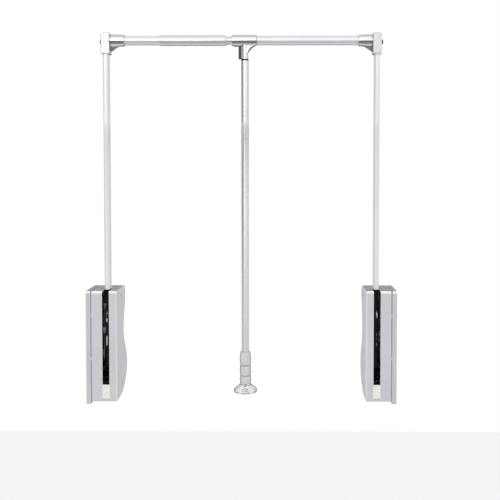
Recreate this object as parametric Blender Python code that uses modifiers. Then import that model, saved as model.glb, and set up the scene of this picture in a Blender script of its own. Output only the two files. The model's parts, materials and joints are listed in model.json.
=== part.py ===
"""Pull-down wardrobe lift: a hanging rail on two arms that swing forward out of two wall housings.

Metres, +Z up. X runs from the left wall plane to the right one, -Y faces the user.
Y = 0 and Z = 0 lie on the swing axis, and X = 0 is the left wall plane.
"""

import math

import bmesh
import bpy
from mathutils import Matrix, Vector

# Whole lift
OVERALL_WIDTH = 0.715
ARM_INSET = 0.026
RAIL_Z = 0.752
GAP = 0.0003
EDGE = 0.001
ROUND_SIDES = 24
SMALL_SIDES = 16
SHARP_ANGLE = math.radians(32)

# Wall plate and housing
HOUSING_WIDTH = 0.0715
HOUSING_TOP = 0.176
HOUSING_BOTTOM = -0.080
PLATE_BOTTOM = -0.086
PLATE_THICKNESS = 0.010
GROOVE_WIDTH = 0.003
GROOVE_DEPTH = 0.0018
GROOVE_TAB_HEIGHTS = (0.020, 0.119)
GROOVE_TAB_LENGTH = 0.007
SHELL_WALL = 0.0025
FRONT_Y = -0.037
TOP_REACH = 0.082
TOP_BACK_RADIUS = 0.014
WAIST_REACH = 0.056
WAIST_Z = 0.074
BELLY_REACH = 0.101
BELLY_Z = -0.014
TOE_Y = 0.003
FRONT_TOP_RADIUS = 0.005
FRONT_BOTTOM_RADIUS = 0.003
COVER_EDGE_RADIUS = 0.004
SLOT_WIDTH = 0.016
SLOT_BOTTOM = -0.041
SLOT_BACK = 0.022

# Rubber buffer under the slot
BUFFER_WIDTH = 0.018
BUFFER_HEIGHT = 0.032
BUFFER_PROUD = 0.001
BUFFER_FLANGE = 0.002
BUFFER_FLANGE_DEPTH = 0.005

# Steel frame inside the housing
FRAME_THICKNESS = 0.003
FRAME_FRONT = -0.028
FRAME_BACK = 0.045
FRAME_BOTTOM = -0.066
FRAME_TOP = 0.168
FRAME_CORNER = 0.006
CHEEK_THICKNESS = 0.0025
CHEEK_FRONT = -0.018
WALL_SCREW_HOLE_RADIUS = 0.0025
WALL_SCREW_PLACES = ((-0.016, 0.146), (-0.016, -0.050), (0.034, 0.060))

# Swing pivot
PIVOT_RADIUS = 0.005
PIVOT_FLANGE_RADIUS = 0.008
PIVOT_FLANGE_THICKNESS = 0.0025
BUSH_WALL = 0.0012
SPACER_RADIUS = 0.007
NUT_RADIUS = 0.0085
NUT_THICKNESS = 0.005
BOLT_TAIL = 0.002

# Arm lever and arm tube
LEVER_THICKNESS = 0.006
LEVER_DEPTH = 0.027
HUB_RADIUS = 0.015
HUB_HALF_WIDTH = 0.007
CHEEK_OFFSET = 0.0085
CRANK_RADIUS = 0.030
CRANK_ANGLE = math.radians(-70)
TAIL_RADIUS = 0.008
CRANK_PIN_RADIUS = 0.003
CRANK_HEAD_RADIUS = 0.005
CRANK_HEAD_THICKNESS = 0.002
ARM_WIDTH = 0.012
ARM_DEPTH = 0.030
ARM_CORNER = 0.004
ARM_WALL = 0.0012
ARM_TUBE_BOTTOM = 0.168
TONGUE_LENGTH = 0.030
TONGUE_SHOULDER = 0.008

# Gas strut
STRUT_OFFSET = 0.013
STRUT_ANCHOR_Y = 0.026
STRUT_ANCHOR_Z = 0.158
STRUT_PIN_RADIUS = 0.004
STRUT_EYE_WIDTH = 0.008
EYE_CUT = 0.020
BARREL_EYE_RADIUS = 0.008
BARREL_RADIUS = 0.008
BARREL_NECK_RADIUS = 0.006
BARREL_BORE_RADIUS = 0.006
BARREL_START = 0.012
BARREL_END = 0.117
BARREL_END_WALL = 0.004
ROD_RADIUS = 0.003
ROD_TOP = 0.096
PISTON_LENGTH = 0.008
PISTON_CLEARANCE = 0.0004
ROD_EYE_RADIUS = 0.007
ROD_EYE_NECK_RADIUS = 0.005
ROD_EYE_NECK = 0.016
ROD_SEAT = 0.009

# Lower standoff and cover screws
STANDOFF_Y = 0.036
STANDOFF_Z = -0.050
COVER_SCREW_RADIUS = 0.0018
COVER_SCREW_LENGTH = 0.010
COVER_SCREW_HEAD_RADIUS = 0.004
COVER_SCREW_HEAD = 0.0018
SCREW_DOME = ((0.6, 0.9), (1.0, 0.35))

# Corner fitting between arm and rail
CORNER_WIDTH = 0.020
CORNER_DEPTH = 0.036
CORNER_RISE = 0.019
CORNER_DROP = 0.032
CORNER_OUTER_RADIUS = 0.006
CORNER_EDGE_RADIUS = 0.0025
CORNER_FACE_RADIUS = 0.0015
SOCKET_DEPTH = 0.022
COLLAR_RADIUS = 0.014
COLLAR_REACH = 0.0425
RAIL_SEAT_REACH = 0.0185
GUSSET_THICKNESS = 0.008
GUSSET_INSET = 0.004
GUSSET_FOOT_RISE = 0.003
CORNER_BOLT_DROP = 0.0035
CORNER_BOLT_RADIUS = 0.0022
CORNER_BOLT_REACH = 0.0305
CORNER_BOLT_HEAD_RADIUS = 0.0043
CORNER_BOLT_HEAD = 0.0028
BOLT_CHAMFER = (0.75, 0.7)
PLUG_REACH = 0.0365

# Rail
RAIL_RADIUS = 0.011
RAIL_WALL = 0.0015
RAIL_LEFT_END = 0.256
SLEEVE_START = 0.1695
SLEEVE_TAPER_START = 0.318
SLEEVE_TAPER_END = 0.327
SLEEVE_WALL = 0.001
SLEEVE_LIP = 0.001
NECK_SPIGOT = 0.015

# Tee that turns on the rail and carries the handle
TEE_X = 0.3655
TEE_LEFT = 0.030
TEE_RIGHT = 0.027
TEE_RADIUS = 0.013
TEE_EDGE = 0.001
STEM_RADIUS = 0.0078
STEM_DROP = 0.043
TEE_SPIGOT_LENGTH = 0.029
RIB_OUT = 0.0148
RIB_DEPTH = 0.016
RIB_DROP = 0.010
TEE_GUSSET_THICKNESS = 0.008
TEE_GUSSET_RISE = 0.011

# Handle
POLE_RADIUS = 0.00875
POLE_WALL = 0.0012
POLE_RING_HEIGHT = 0.0025
POLE_BOTTOM = -0.045
GRIP_TOP = 0.0298
GRIP_BOTTOM = -0.0534
GRIP_RINGS = (-0.0093, -0.0334)
GRIP_WAIST_RADIUS = 0.0122
GRIP_SWELL = 0.0010
GRIP_MOUTH_RADIUS = 0.0100
GRIP_SHOULDER = 0.005
GRIP_RING_HALF_WIDTH = 0.0006
GRIP_RING_DEPTH = 0.0007
FOOT_NECK_RADIUS = 0.0122
FOOT_RADIUS = 0.0274
FOOT_BOTTOM = -0.0665
FOOT_RIM = 0.002
FOOT_FLARE = 0.8
FOOT_SPIGOT_TOP = -0.030
FOOT_SCREW_HEAD_RADIUS = 0.0055
FOOT_SCREW_RADIUS = 0.002
FOOT_SCREW_TOP = -0.040
FOOT_RECESS = 0.0035

# Sizes that follow from the ones above
ARM_X = HOUSING_WIDTH - ARM_INSET
SHELL_START = PLATE_THICKNESS + GROOVE_WIDTH + GAP
FRAME_X = SHELL_WALL + GAP
FRAME_END = FRAME_X + FRAME_THICKNESS
CHEEK_X = ARM_X + CHEEK_OFFSET
CHEEK_END = CHEEK_X + CHEEK_THICKNESS
HUB_START = ARM_X - HUB_HALF_WIDTH
HUB_END = CHEEK_X - GAP
BUSH_INNER = PIVOT_RADIUS + GAP
BUSH_OUTER = BUSH_INNER + BUSH_WALL
CRANK_Y = CRANK_RADIUS * math.cos(CRANK_ANGLE)
CRANK_Z = CRANK_RADIUS * math.sin(CRANK_ANGLE)
STRUT_X = ARM_X - STRUT_OFFSET
STRUT_LENGTH = math.hypot(STRUT_ANCHOR_Y - CRANK_Y, STRUT_ANCHOR_Z - CRANK_Z)
STRUT_TILT = math.atan2(CRANK_Y - STRUT_ANCHOR_Y, STRUT_ANCHOR_Z - CRANK_Z)
COVER_INSIDE = HOUSING_WIDTH - SHELL_WALL
CORNER_START = ARM_X - CORNER_WIDTH / 2
CORNER_END = ARM_X + CORNER_WIDTH / 2
COLLAR_END = ARM_X + COLLAR_REACH
RAIL_SEAT = ARM_X + RAIL_SEAT_REACH
CORNER_BOLT_END = ARM_X + CORNER_BOLT_REACH
PLUG_END = ARM_X + PLUG_REACH
CORNER_TOP = RAIL_Z + CORNER_RISE
CORNER_BOTTOM = RAIL_Z - CORNER_DROP
GUSSET_FOOT_Z = CORNER_BOTTOM + GUSSET_FOOT_RISE
CORNER_BOLT_Z = RAIL_Z - CORNER_BOLT_DROP
ARM_TUBE_TOP = CORNER_BOTTOM + SOCKET_DEPTH - GAP
RAIL_BORE_RADIUS = RAIL_RADIUS - RAIL_WALL
SLEEVE_BORE_RADIUS = RAIL_RADIUS + GAP
SLEEVE_RADIUS = SLEEVE_BORE_RADIUS + SLEEVE_WALL
NECK_RADIUS = RAIL_BORE_RADIUS - GAP
TEE_END = TEE_X + TEE_RIGHT
STEM_BOTTOM = RAIL_Z - STEM_DROP
TEE_GUSSET_START = 0.8 * TEE_RADIUS
POLE_BORE_RADIUS = POLE_RADIUS - POLE_WALL
SPIGOT_RADIUS = POLE_BORE_RADIUS - GAP
POLE_TOP = STEM_BOTTOM - POLE_RING_HEIGHT - 2 * GAP

# Colour, metallic and roughness of each finish
FINISHES = {
    "housing_plastic": ((0.66, 0.66, 0.69), 0.0, 0.42),
    "satin_aluminium": ((0.80, 0.80, 0.82), 0.85, 0.30),
    "chrome": ((0.86, 0.87, 0.88), 1.0, 0.12),
    "cast_metal": ((0.74, 0.74, 0.76), 0.6, 0.38),
    "black_steel": ((0.045, 0.047, 0.050), 0.7, 0.45),
    "zinc_steel": ((0.62, 0.62, 0.60), 0.9, 0.35),
    "white_rubber": ((0.86, 0.86, 0.82), 0.0, 0.65),
    "bush_plastic": ((0.80, 0.78, 0.72), 0.0, 0.50),
    "grip_plastic": ((0.70, 0.69, 0.73), 0.0, 0.35),
}

PLANES = {
    "X": Matrix(((0, 0, 1), (1, 0, 0), (0, 1, 0))).to_4x4(),
    "Y": Matrix(((1, 0, 0), (0, 0, -1), (0, 1, 0))).to_4x4(),
    "Z": Matrix.Identity(4),
}


def clear_scene():
    for obj in list(bpy.data.objects):
        bpy.data.objects.remove(obj, do_unlink=True)


def new_collection(name):
    made = bpy.data.collections.new(name)
    bpy.context.scene.collection.children.link(made)
    return made


def finish(name, kind):
    colour, metallic, roughness = FINISHES[kind]
    made = bpy.data.materials.new(name)
    made.use_nodes = True
    shader = made.node_tree.nodes["Principled BSDF"]
    shader.inputs["Base Color"].default_value = (*colour, 1)
    shader.inputs["Metallic"].default_value = metallic
    shader.inputs["Roughness"].default_value = roughness
    made.diffuse_color = (*colour, 1)
    return made


def empty(name, parent, location=(0, 0, 0)):
    made = bpy.data.objects.new(name, None)
    part.objects.link(made)
    made.parent = parent
    made.location = location
    made.empty_display_size = 0.02
    return made


def put(obj, kind, parent):
    """Makes a shape one of the lift's sub-parts."""
    part.objects.link(obj)
    obj.parent = parent
    obj.data.materials.clear()
    obj.data.materials.append(finish(obj.name, kind))
    obj.data.shade_smooth()
    obj.data.set_sharp_from_angle(angle=SHARP_ANGLE)
    return obj


def tool(obj, parent):
    """Makes a shape a cutter or a joining shape, which isn't drawn."""
    cutters.objects.link(obj)
    obj.parent = parent
    obj.hide_render = True
    obj.display_type = "WIRE"
    return obj


def boolean(obj, operation, others):
    for other in others:
        other = tool(other, obj.parent)
        modifier = obj.modifiers.new(other.name, "BOOLEAN")
        modifier.operation = operation
        modifier.solver = "EXACT"
        modifier.object = other
    return obj


def face_outwards(bm):
    bmesh.ops.recalc_face_normals(bm, faces=bm.faces)
    if bm.calc_volume(signed=True) < 0:
        bmesh.ops.reverse_faces(bm, faces=bm.faces)


def object_from(name, bm):
    face_outwards(bm)
    mesh = bpy.data.meshes.new(name)
    bm.to_mesh(mesh)
    bm.free()
    return bpy.data.objects.new(name, mesh)


def box(name, low, high, edge=0):
    """A box between two corners, its edges rounded by edge."""
    bm = bmesh.new()
    bmesh.ops.create_cube(bm, size=1)
    low, high = Vector(low), Vector(high)
    bmesh.ops.scale(bm, vec=high - low, verts=bm.verts)
    bmesh.ops.translate(bm, vec=(low + high) / 2, verts=bm.verts)
    if edge:
        bmesh.ops.bevel(bm, geom=bm.edges[:], offset=edge, segments=2, profile=0.5, affect="EDGES")
    return object_from(name, bm)


def round_bar(name, radius, start, end, y=0, z=0, sides=ROUND_SIDES):
    """A solid bar along X."""
    bm = bmesh.new()
    bmesh.ops.create_cone(
        bm, cap_ends=True, segments=sides, radius1=radius, radius2=radius, depth=end - start
    )
    bm.transform(Matrix.Translation(((start + end) / 2, y, z)) @ PLANES["X"])
    return object_from(name, bm)


def turned(name, profile, closed, along="Z", sides=ROUND_SIDES):
    """A turned shape from (radius, height) points that run down its outer side."""
    mesh = bpy.data.meshes.new(name)
    count = len(profile)
    edges = [(i, (i + 1) % count) for i in range(count if closed else count - 1)]
    mesh.from_pydata([(radius, 0, height) for radius, height in profile], edges, [])
    obj = bpy.data.objects.new(name, mesh)
    if along == "X":
        mesh.transform(PLANES["X"])
    screw = obj.modifiers.new("turn", "SCREW")
    screw.axis = along
    screw.steps = sides
    screw.render_steps = sides
    screw.use_merge_vertices = True
    screw.merge_threshold = 0.00001
    screw.use_smooth_shade = True
    return obj


def outline_solid(name, outlines, low, high, along):
    """A flat outline, with any further outlines as holes, drawn out from low to high."""
    curve = bpy.data.curves.new(name, "CURVE")
    curve.dimensions = "2D"
    curve.fill_mode = "BOTH"
    curve.extrude = (high - low) / 2
    for outline in outlines:
        spline = curve.splines.new("POLY")
        spline.points.add(len(outline) - 1)
        for point, (u, v) in zip(spline.points, outline):
            point.co = (u, v, 0, 1)
        spline.use_cyclic_u = True
    guide = bpy.data.objects.new(name + "_outline", curve)
    bpy.context.scene.collection.objects.link(guide)
    graph = bpy.context.evaluated_depsgraph_get()
    mesh = bpy.data.meshes.new_from_object(guide.evaluated_get(graph))
    bpy.data.objects.remove(guide)
    middle = (low + high) / 2
    sign = -1 if along == "Y" else 1
    mesh.transform(PLANES[along] @ Matrix.Translation((0, 0, sign * middle)))
    mesh.name = name
    bm = bmesh.new()
    bm.from_mesh(mesh)
    bpy.data.meshes.remove(mesh)
    bmesh.ops.remove_doubles(bm, verts=bm.verts, dist=0.000001)
    return object_from(name, bm)


def round_edges_at(obj, axis, place, radius, segments=3):
    """Rounds the edges of the end face that lies at one place on an axis."""
    bm = bmesh.new()
    bm.from_mesh(obj.data)
    bmesh.ops.dissolve_limit(bm, angle_limit=0.001, verts=bm.verts, edges=bm.edges)
    rim = [
        edge
        for edge in bm.edges
        if all(abs(vertex.co[axis] - place) < 0.00001 for vertex in edge.verts)
        and edge.calc_face_angle(0) > 1
    ]
    bmesh.ops.bevel(bm, geom=rim, offset=radius, segments=segments, profile=0.5, affect="EDGES")
    face_outwards(bm)
    bm.to_mesh(obj.data)
    bm.free()
    return obj


def arc(centre, radius, start, end, steps):
    """Points on an arc, from one angle to another in degrees."""
    angles = [math.radians(start + (end - start) * i / steps) for i in range(steps + 1)]
    return [(centre[0] + radius * math.cos(a), centre[1] + radius * math.sin(a)) for a in angles]


def rounded_rectangle(low, high, radius, steps=4):
    """An outline with round corners, anticlockwise from its lower right."""
    (u0, v0), (u1, v1) = low, high
    points = arc((u1 - radius, v0 + radius), radius, -90, 0, steps)
    points += arc((u1 - radius, v1 - radius), radius, 0, 90, steps)
    points += arc((u0 + radius, v1 - radius), radius, 90, 180, steps)
    points += arc((u0 + radius, v0 + radius), radius, 180, 270, steps)
    return points


def distance_to(point, outline):
    """How far a point lies from a closed outline."""
    point = Vector(point)
    nearest = []
    for start, end in zip(outline, [*outline[1:], outline[0]]):
        start, run = Vector(start), Vector(end) - Vector(start)
        share = min(1, max(0, (point - start).dot(run) / run.length_squared))
        nearest.append((point - start - run * share).length)
    return min(nearest)


def meet(first, second):
    """Where two lines cross, each given by a point and a direction. If they are in line, the other point."""
    (start, run), (other, other_run) = first, second
    across = run.cross(other_run)
    if abs(across) < 0.000001:
        return other
    return start + run * ((other - start).cross(other_run) / across)


def inset(outline, distance):
    """The outline moved inwards. It runs anticlockwise, and a corner tighter than the move ends sharp."""
    corners = [Vector(point) for point in outline]
    sides = []
    for here, after in zip(corners, corners[1:] + corners[:1]):
        run = (after - here).normalized()
        sides.append((here + Vector((-run.y, run.x)) * distance, run))
    moved = [meet(sides[i - 1], side) for i, side in enumerate(sides)]
    kept = [i for i, point in enumerate(moved) if distance_to(point, outline) > distance * 0.999]
    made = []
    for i, following in zip(kept, kept[1:] + [kept[0] + len(sides)]):
        made.append(tuple(moved[i]))
        if following > i + 1:
            made.append(tuple(meet(sides[i], sides[(following - 1) % len(sides)])))
    return made


def eased(start, end, steps):
    """Points that leave one end and reach the other one straight up, without the last."""
    made = []
    for i in range(steps):
        share = i / steps
        ease = (1 - math.cos(math.pi * share)) / 2
        made.append((start[0] + (end[0] - start[0]) * ease, start[1] + (end[1] - start[1]) * share))
    return made


def housing_outline(bottom):
    """The housing seen from its side, as (Y, Z) points, anticlockwise from its belly's underside.

    The belly is a quarter of an ellipse, and above it the back draws in to the waist and out again.
    """
    quarter = [math.pi / 2 * i / 10 for i in range(10)]
    points = [
        (TOE_Y + (BELLY_REACH - TOE_Y) * math.sin(turn), BELLY_Z - (BELLY_Z - bottom) * math.cos(turn))
        for turn in quarter
    ]
    back, top, low = TOP_BACK_RADIUS, FRONT_TOP_RADIUS, FRONT_BOTTOM_RADIUS
    points += eased((BELLY_REACH, BELLY_Z), (WAIST_REACH, WAIST_Z), 8)
    points += eased((WAIST_REACH, WAIST_Z), (TOP_REACH, HOUSING_TOP - back), 7)
    points += arc((TOP_REACH - back, HOUSING_TOP - back), back, 0, 90, 5)
    points += arc((FRONT_Y + top, HOUSING_TOP - top), top, 90, 180, 4)
    points += arc((FRONT_Y + low, bottom + low), low, 180, 270, 3)
    return points


def capsule(end, start_radius, end_radius, steps=8):
    """The outline round a circle at the origin and a smaller one at end."""
    length = math.hypot(*end)
    turn = math.degrees(math.atan2(end[1], end[0]))
    side = math.degrees(math.acos((start_radius - end_radius) / length))
    return arc(end, end_radius, turn - side, turn + side, steps) + arc(
        (0, 0), start_radius, turn + side, turn + 360 - side, steps
    )


def holes(name, places, start, end):
    """Cutters along X, from (radius, y, z) places."""
    return [
        round_bar(f"{name}_{i}", radius, start, end, y, z, SMALL_SIDES)
        for i, (radius, y, z) in enumerate(places)
    ]


def make_wall_plate(side, parent):
    plate = outline_solid(side + "_wall_plate", [housing_outline(PLATE_BOTTOM)], 0, PLATE_THICKNESS, "X")
    lip_outline = inset(housing_outline(HOUSING_BOTTOM), GROOVE_DEPTH)
    lip_end = PLATE_THICKNESS + GROOVE_WIDTH
    lip = outline_solid(side + "_plate_lip", [lip_outline], PLATE_THICKNESS / 2, lip_end, "X")
    tabs = [
        box(
            f"{side}_groove_tab_{i}",
            (PLATE_THICKNESS / 2, FRONT_Y + GROOVE_DEPTH / 4, z - GROOVE_TAB_LENGTH / 2),
            (lip_end, FRONT_Y + 2 * GROOVE_DEPTH, z + GROOVE_TAB_LENGTH / 2),
        )
        for i, z in enumerate(GROOVE_TAB_HEIGHTS)
    ]
    pocket = outline_solid(
        side + "_plate_pocket",
        [inset(housing_outline(HOUSING_BOTTOM), GROOVE_DEPTH + SHELL_WALL)],
        SHELL_WALL,
        lip_end + SHELL_WALL,
        "X",
    )
    screw_holes = holes(
        side + "_plate_hole",
        [(WALL_SCREW_HOLE_RADIUS, y, z) for y, z in WALL_SCREW_PLACES],
        -SHELL_WALL,
        2 * SHELL_WALL,
    )
    put(plate, "housing_plastic", parent)
    boolean(plate, "UNION", [lip, *tabs])
    boolean(plate, "DIFFERENCE", [pocket, *screw_holes])


def slot_cutters(side, name):
    half = SLOT_WIDTH / 2
    slot = box(
        f"{side}_{name}_slot",
        (ARM_X - half, FRONT_Y - SHELL_WALL, SLOT_BOTTOM),
        (ARM_X + half, SLOT_BACK, HOUSING_TOP + SHELL_WALL),
    )
    seat = box(
        f"{side}_{name}_buffer_seat",
        (ARM_X - BUFFER_WIDTH / 2 - GAP, FRONT_Y - SHELL_WALL, SLOT_BOTTOM - BUFFER_HEIGHT - GAP),
        (ARM_X + BUFFER_WIDTH / 2 + GAP, FRONT_Y + 2 * SHELL_WALL, SLOT_BOTTOM + GAP),
    )
    return [slot, seat]


def make_housing_shell(side, parent):
    outer = housing_outline(HOUSING_BOTTOM)
    shell = outline_solid(
        side + "_housing_shell", [outer, inset(outer, SHELL_WALL)], SHELL_START, ARM_X - GAP / 2, "X"
    )
    put(shell, "housing_plastic", parent)
    boolean(shell, "DIFFERENCE", slot_cutters(side, "shell"))


def make_housing_cover(side, parent):
    outer = housing_outline(HOUSING_BOTTOM)
    cover = outline_solid(side + "_housing_cover", [outer], ARM_X + GAP / 2, HOUSING_WIDTH, "X")
    round_edges_at(cover, 0, HOUSING_WIDTH, COVER_EDGE_RADIUS)
    pocket = outline_solid(
        side + "_cover_pocket", [inset(outer, SHELL_WALL)], ARM_X - SHELL_WALL, COVER_INSIDE, "X"
    )
    round_edges_at(pocket, 0, COVER_INSIDE, COVER_EDGE_RADIUS - SHELL_WALL, 2)
    screw_radius = COVER_SCREW_RADIUS + GAP
    screw_holes = holes(
        side + "_cover_hole",
        [(screw_radius, STRUT_ANCHOR_Y, STRUT_ANCHOR_Z), (screw_radius, STANDOFF_Y, STANDOFF_Z)],
        COVER_INSIDE - SHELL_WALL,
        HOUSING_WIDTH + SHELL_WALL,
    )
    put(cover, "housing_plastic", parent)
    boolean(cover, "DIFFERENCE", [pocket, *slot_cutters(side, "cover"), *screw_holes])


def make_buffer(side, parent):
    half = BUFFER_WIDTH / 2
    bottom = SLOT_BOTTOM - BUFFER_HEIGHT
    behind = FRONT_Y + SHELL_WALL + GAP
    block = box(
        side + "_buffer",
        (ARM_X - half, FRONT_Y - BUFFER_PROUD, bottom),
        (ARM_X + half, behind + BUFFER_FLANGE_DEPTH / 2, SLOT_BOTTOM),
        BUFFER_PROUD,
    )
    flange = box(
        side + "_buffer_flange",
        (ARM_X - half - BUFFER_FLANGE, behind, bottom - BUFFER_FLANGE),
        (ARM_X + half + BUFFER_FLANGE, behind + BUFFER_FLANGE_DEPTH, SLOT_BOTTOM - BUFFER_FLANGE),
    )
    put(block, "white_rubber", parent)
    boolean(block, "UNION", [flange])


def make_frame(side, parent):
    pins = [
        (PIVOT_RADIUS + GAP, 0, 0),
        (STRUT_PIN_RADIUS + GAP, STRUT_ANCHOR_Y, STRUT_ANCHOR_Z),
        (STRUT_PIN_RADIUS + GAP, STANDOFF_Y, STANDOFF_Z),
    ]
    screws = [(WALL_SCREW_HOLE_RADIUS, y, z) for y, z in WALL_SCREW_PLACES]
    plate_outline = rounded_rectangle((FRAME_FRONT, FRAME_BOTTOM), (FRAME_BACK, FRAME_TOP), FRAME_CORNER)
    plate = outline_solid(side + "_mount_frame", [plate_outline], FRAME_X, FRAME_END, "X")
    put(plate, "zinc_steel", parent)
    boolean(plate, "DIFFERENCE", holes(side + "_frame_hole", pins + screws, 0, FRAME_END + FRAME_X))
    cheek_outline = rounded_rectangle((CHEEK_FRONT, FRAME_BOTTOM), (FRAME_BACK, FRAME_TOP), FRAME_CORNER)
    cheek = outline_solid(side + "_frame_cheek", [cheek_outline], CHEEK_X, CHEEK_END, "X")
    put(cheek, "zinc_steel", parent)
    cheek_holes = holes(side + "_cheek_hole", pins, ARM_X, CHEEK_END + CHEEK_THICKNESS)
    boolean(cheek, "DIFFERENCE", cheek_holes)


def make_pivot(side, parent):
    flange_start = FRAME_END + GAP
    flange_end = flange_start + PIVOT_FLANGE_THICKNESS
    nut_start = CHEEK_END + GAP
    nut_end = nut_start + NUT_THICKNESS
    bolt = turned(
        side + "_pivot_bolt",
        [
            (0, nut_end + BOLT_TAIL),
            (PIVOT_RADIUS, nut_end + BOLT_TAIL),
            (PIVOT_RADIUS, flange_end),
            (PIVOT_FLANGE_RADIUS, flange_end),
            (PIVOT_FLANGE_RADIUS, flange_start),
            (PIVOT_RADIUS, flange_start),
            (PIVOT_RADIUS, FRAME_X),
            (0, FRAME_X),
        ],
        False,
        "X",
        SMALL_SIDES,
    )
    put(bolt, "zinc_steel", parent)
    spacer = tube_x(side + "_pivot_spacer", BUSH_INNER, SPACER_RADIUS, flange_end + GAP, HUB_START - GAP)
    put(spacer, "zinc_steel", parent)
    nut = round_bar(side + "_pivot_nut", NUT_RADIUS, nut_start, nut_end, sides=6)
    put(nut, "zinc_steel", parent)
    hole = holes(side + "_nut_hole", [(BUSH_INNER, 0, 0)], CHEEK_X, nut_end + NUT_THICKNESS)
    boolean(nut, "DIFFERENCE", hole)


def tube_x(name, inner, outer, start, end, sides=SMALL_SIDES):
    profile = [(outer, end), (outer, start), (inner, start), (inner, end)]
    return turned(name, profile, True, "X", sides)


def make_arm_lever(side, parent):
    low = ARM_X - LEVER_THICKNESS / 2
    high = ARM_X + LEVER_THICKNESS / 2
    half = LEVER_DEPTH / 2
    shoulder = ARM_TUBE_BOTTOM - TONGUE_SHOULDER
    bar_top = shoulder + TONGUE_SHOULDER / 2
    bar_outline = [(-half, 0), (half, 0), (half, bar_top), (-half, bar_top)]
    lever = outline_solid(side + "_arm_lever", [bar_outline], low, high, "X")
    hub = round_bar(side + "_lever_hub", HUB_RADIUS, HUB_START, HUB_END)
    tail = outline_solid(
        side + "_lever_tail", [capsule((CRANK_Y, CRANK_Z), half, TAIL_RADIUS)], low, high, "X"
    )
    tongue_half = ARM_WIDTH / 2 - ARM_WALL - GAP
    tongue_depth = ARM_DEPTH / 2 - ARM_WALL - GAP
    tongue_outline = rounded_rectangle(
        (ARM_X - tongue_half, -tongue_depth),
        (ARM_X + tongue_half, tongue_depth),
        ARM_CORNER - ARM_WALL - GAP,
    )
    tongue = outline_solid(
        side + "_lever_tongue", [tongue_outline], shoulder, ARM_TUBE_BOTTOM + TONGUE_LENGTH, "Z"
    )
    bore = round_bar(side + "_lever_bore", BUSH_OUTER + GAP, HUB_START - HUB_RADIUS, HUB_END + HUB_RADIUS)
    crank_hole = round_bar(
        side + "_crank_hole", CRANK_PIN_RADIUS + GAP, HUB_START, HUB_END, CRANK_Y, CRANK_Z, SMALL_SIDES
    )
    put(lever, "black_steel", parent)
    boolean(lever, "UNION", [hub, tail, tongue])
    boolean(lever, "DIFFERENCE", [bore, crank_hole])
    bush = tube_x(side + "_pivot_bush", BUSH_INNER, BUSH_OUTER, HUB_START, HUB_END, ROUND_SIDES)
    put(bush, "bush_plastic", parent)


def make_crank_pin(side, parent):
    """The pin in the lever's tail. It stops just short of the strut's eye, where the linkage is open."""
    end = ARM_X + LEVER_THICKNESS / 2 + GAP
    start = STRUT_X + STRUT_EYE_WIDTH / 2 + GAP
    axis = empty(side + "_crank_axis", parent, (0, CRANK_Y, CRANK_Z))
    pin = turned(
        side + "_crank_pin",
        [
            (0, end + CRANK_HEAD_THICKNESS),
            (CRANK_HEAD_RADIUS, end + CRANK_HEAD_THICKNESS),
            (CRANK_HEAD_RADIUS, end),
            (CRANK_PIN_RADIUS, end),
            (CRANK_PIN_RADIUS, start),
            (0, start),
        ],
        False,
        "X",
        SMALL_SIDES,
    )
    put(pin, "zinc_steel", axis)


def make_posts(side, parent):
    """The strut's upper pin and the lower standoff, whose inner ends take the cover's screws."""
    posts = {
        "strut_anchor_pin": (STRUT_ANCHOR_Y, STRUT_ANCHOR_Z),
        "lower_standoff": (STANDOFF_Y, STANDOFF_Z),
    }
    screws = ("cover_screw_upper", "cover_screw_lower")
    for (name, (y, z)), screw_name in zip(posts.items(), screws):
        axis = empty(f"{side}_{name}_axis", parent, (0, y, z))
        end = COVER_INSIDE - GAP
        depth = end - COVER_SCREW_LENGTH
        hole = COVER_SCREW_RADIUS + GAP
        post = turned(
            f"{side}_{name}",
            [
                (0, depth),
                (hole, depth),
                (hole, end),
                (STRUT_PIN_RADIUS, end),
                (STRUT_PIN_RADIUS, FRAME_X),
                (0, FRAME_X),
            ],
            False,
            "X",
            SMALL_SIDES,
        )
        put(post, "zinc_steel", axis)
        seat = HOUSING_WIDTH + GAP
        screw = turned(
            f"{side}_{screw_name}",
            [
                (0, seat + COVER_SCREW_HEAD),
                *[
                    (COVER_SCREW_HEAD_RADIUS * out, seat + COVER_SCREW_HEAD * up)
                    for out, up in SCREW_DOME
                ],
                (COVER_SCREW_HEAD_RADIUS, seat),
                (COVER_SCREW_RADIUS, seat),
                (COVER_SCREW_RADIUS, depth + GAP),
                (0, depth + GAP),
            ],
            False,
            "X",
            SMALL_SIDES,
        )
        put(screw, "zinc_steel", axis)


def eye_flats(name, low, high):
    """Cutters that flatten both faces of a strut's eye between two heights."""
    half = STRUT_EYE_WIDTH / 2
    return [
        box(name + "_flat_in", (half, -EYE_CUT, low), (EYE_CUT, EYE_CUT, high)),
        box(name + "_flat_out", (-EYE_CUT, -EYE_CUT, low), (-half, EYE_CUT, high)),
    ]


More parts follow.
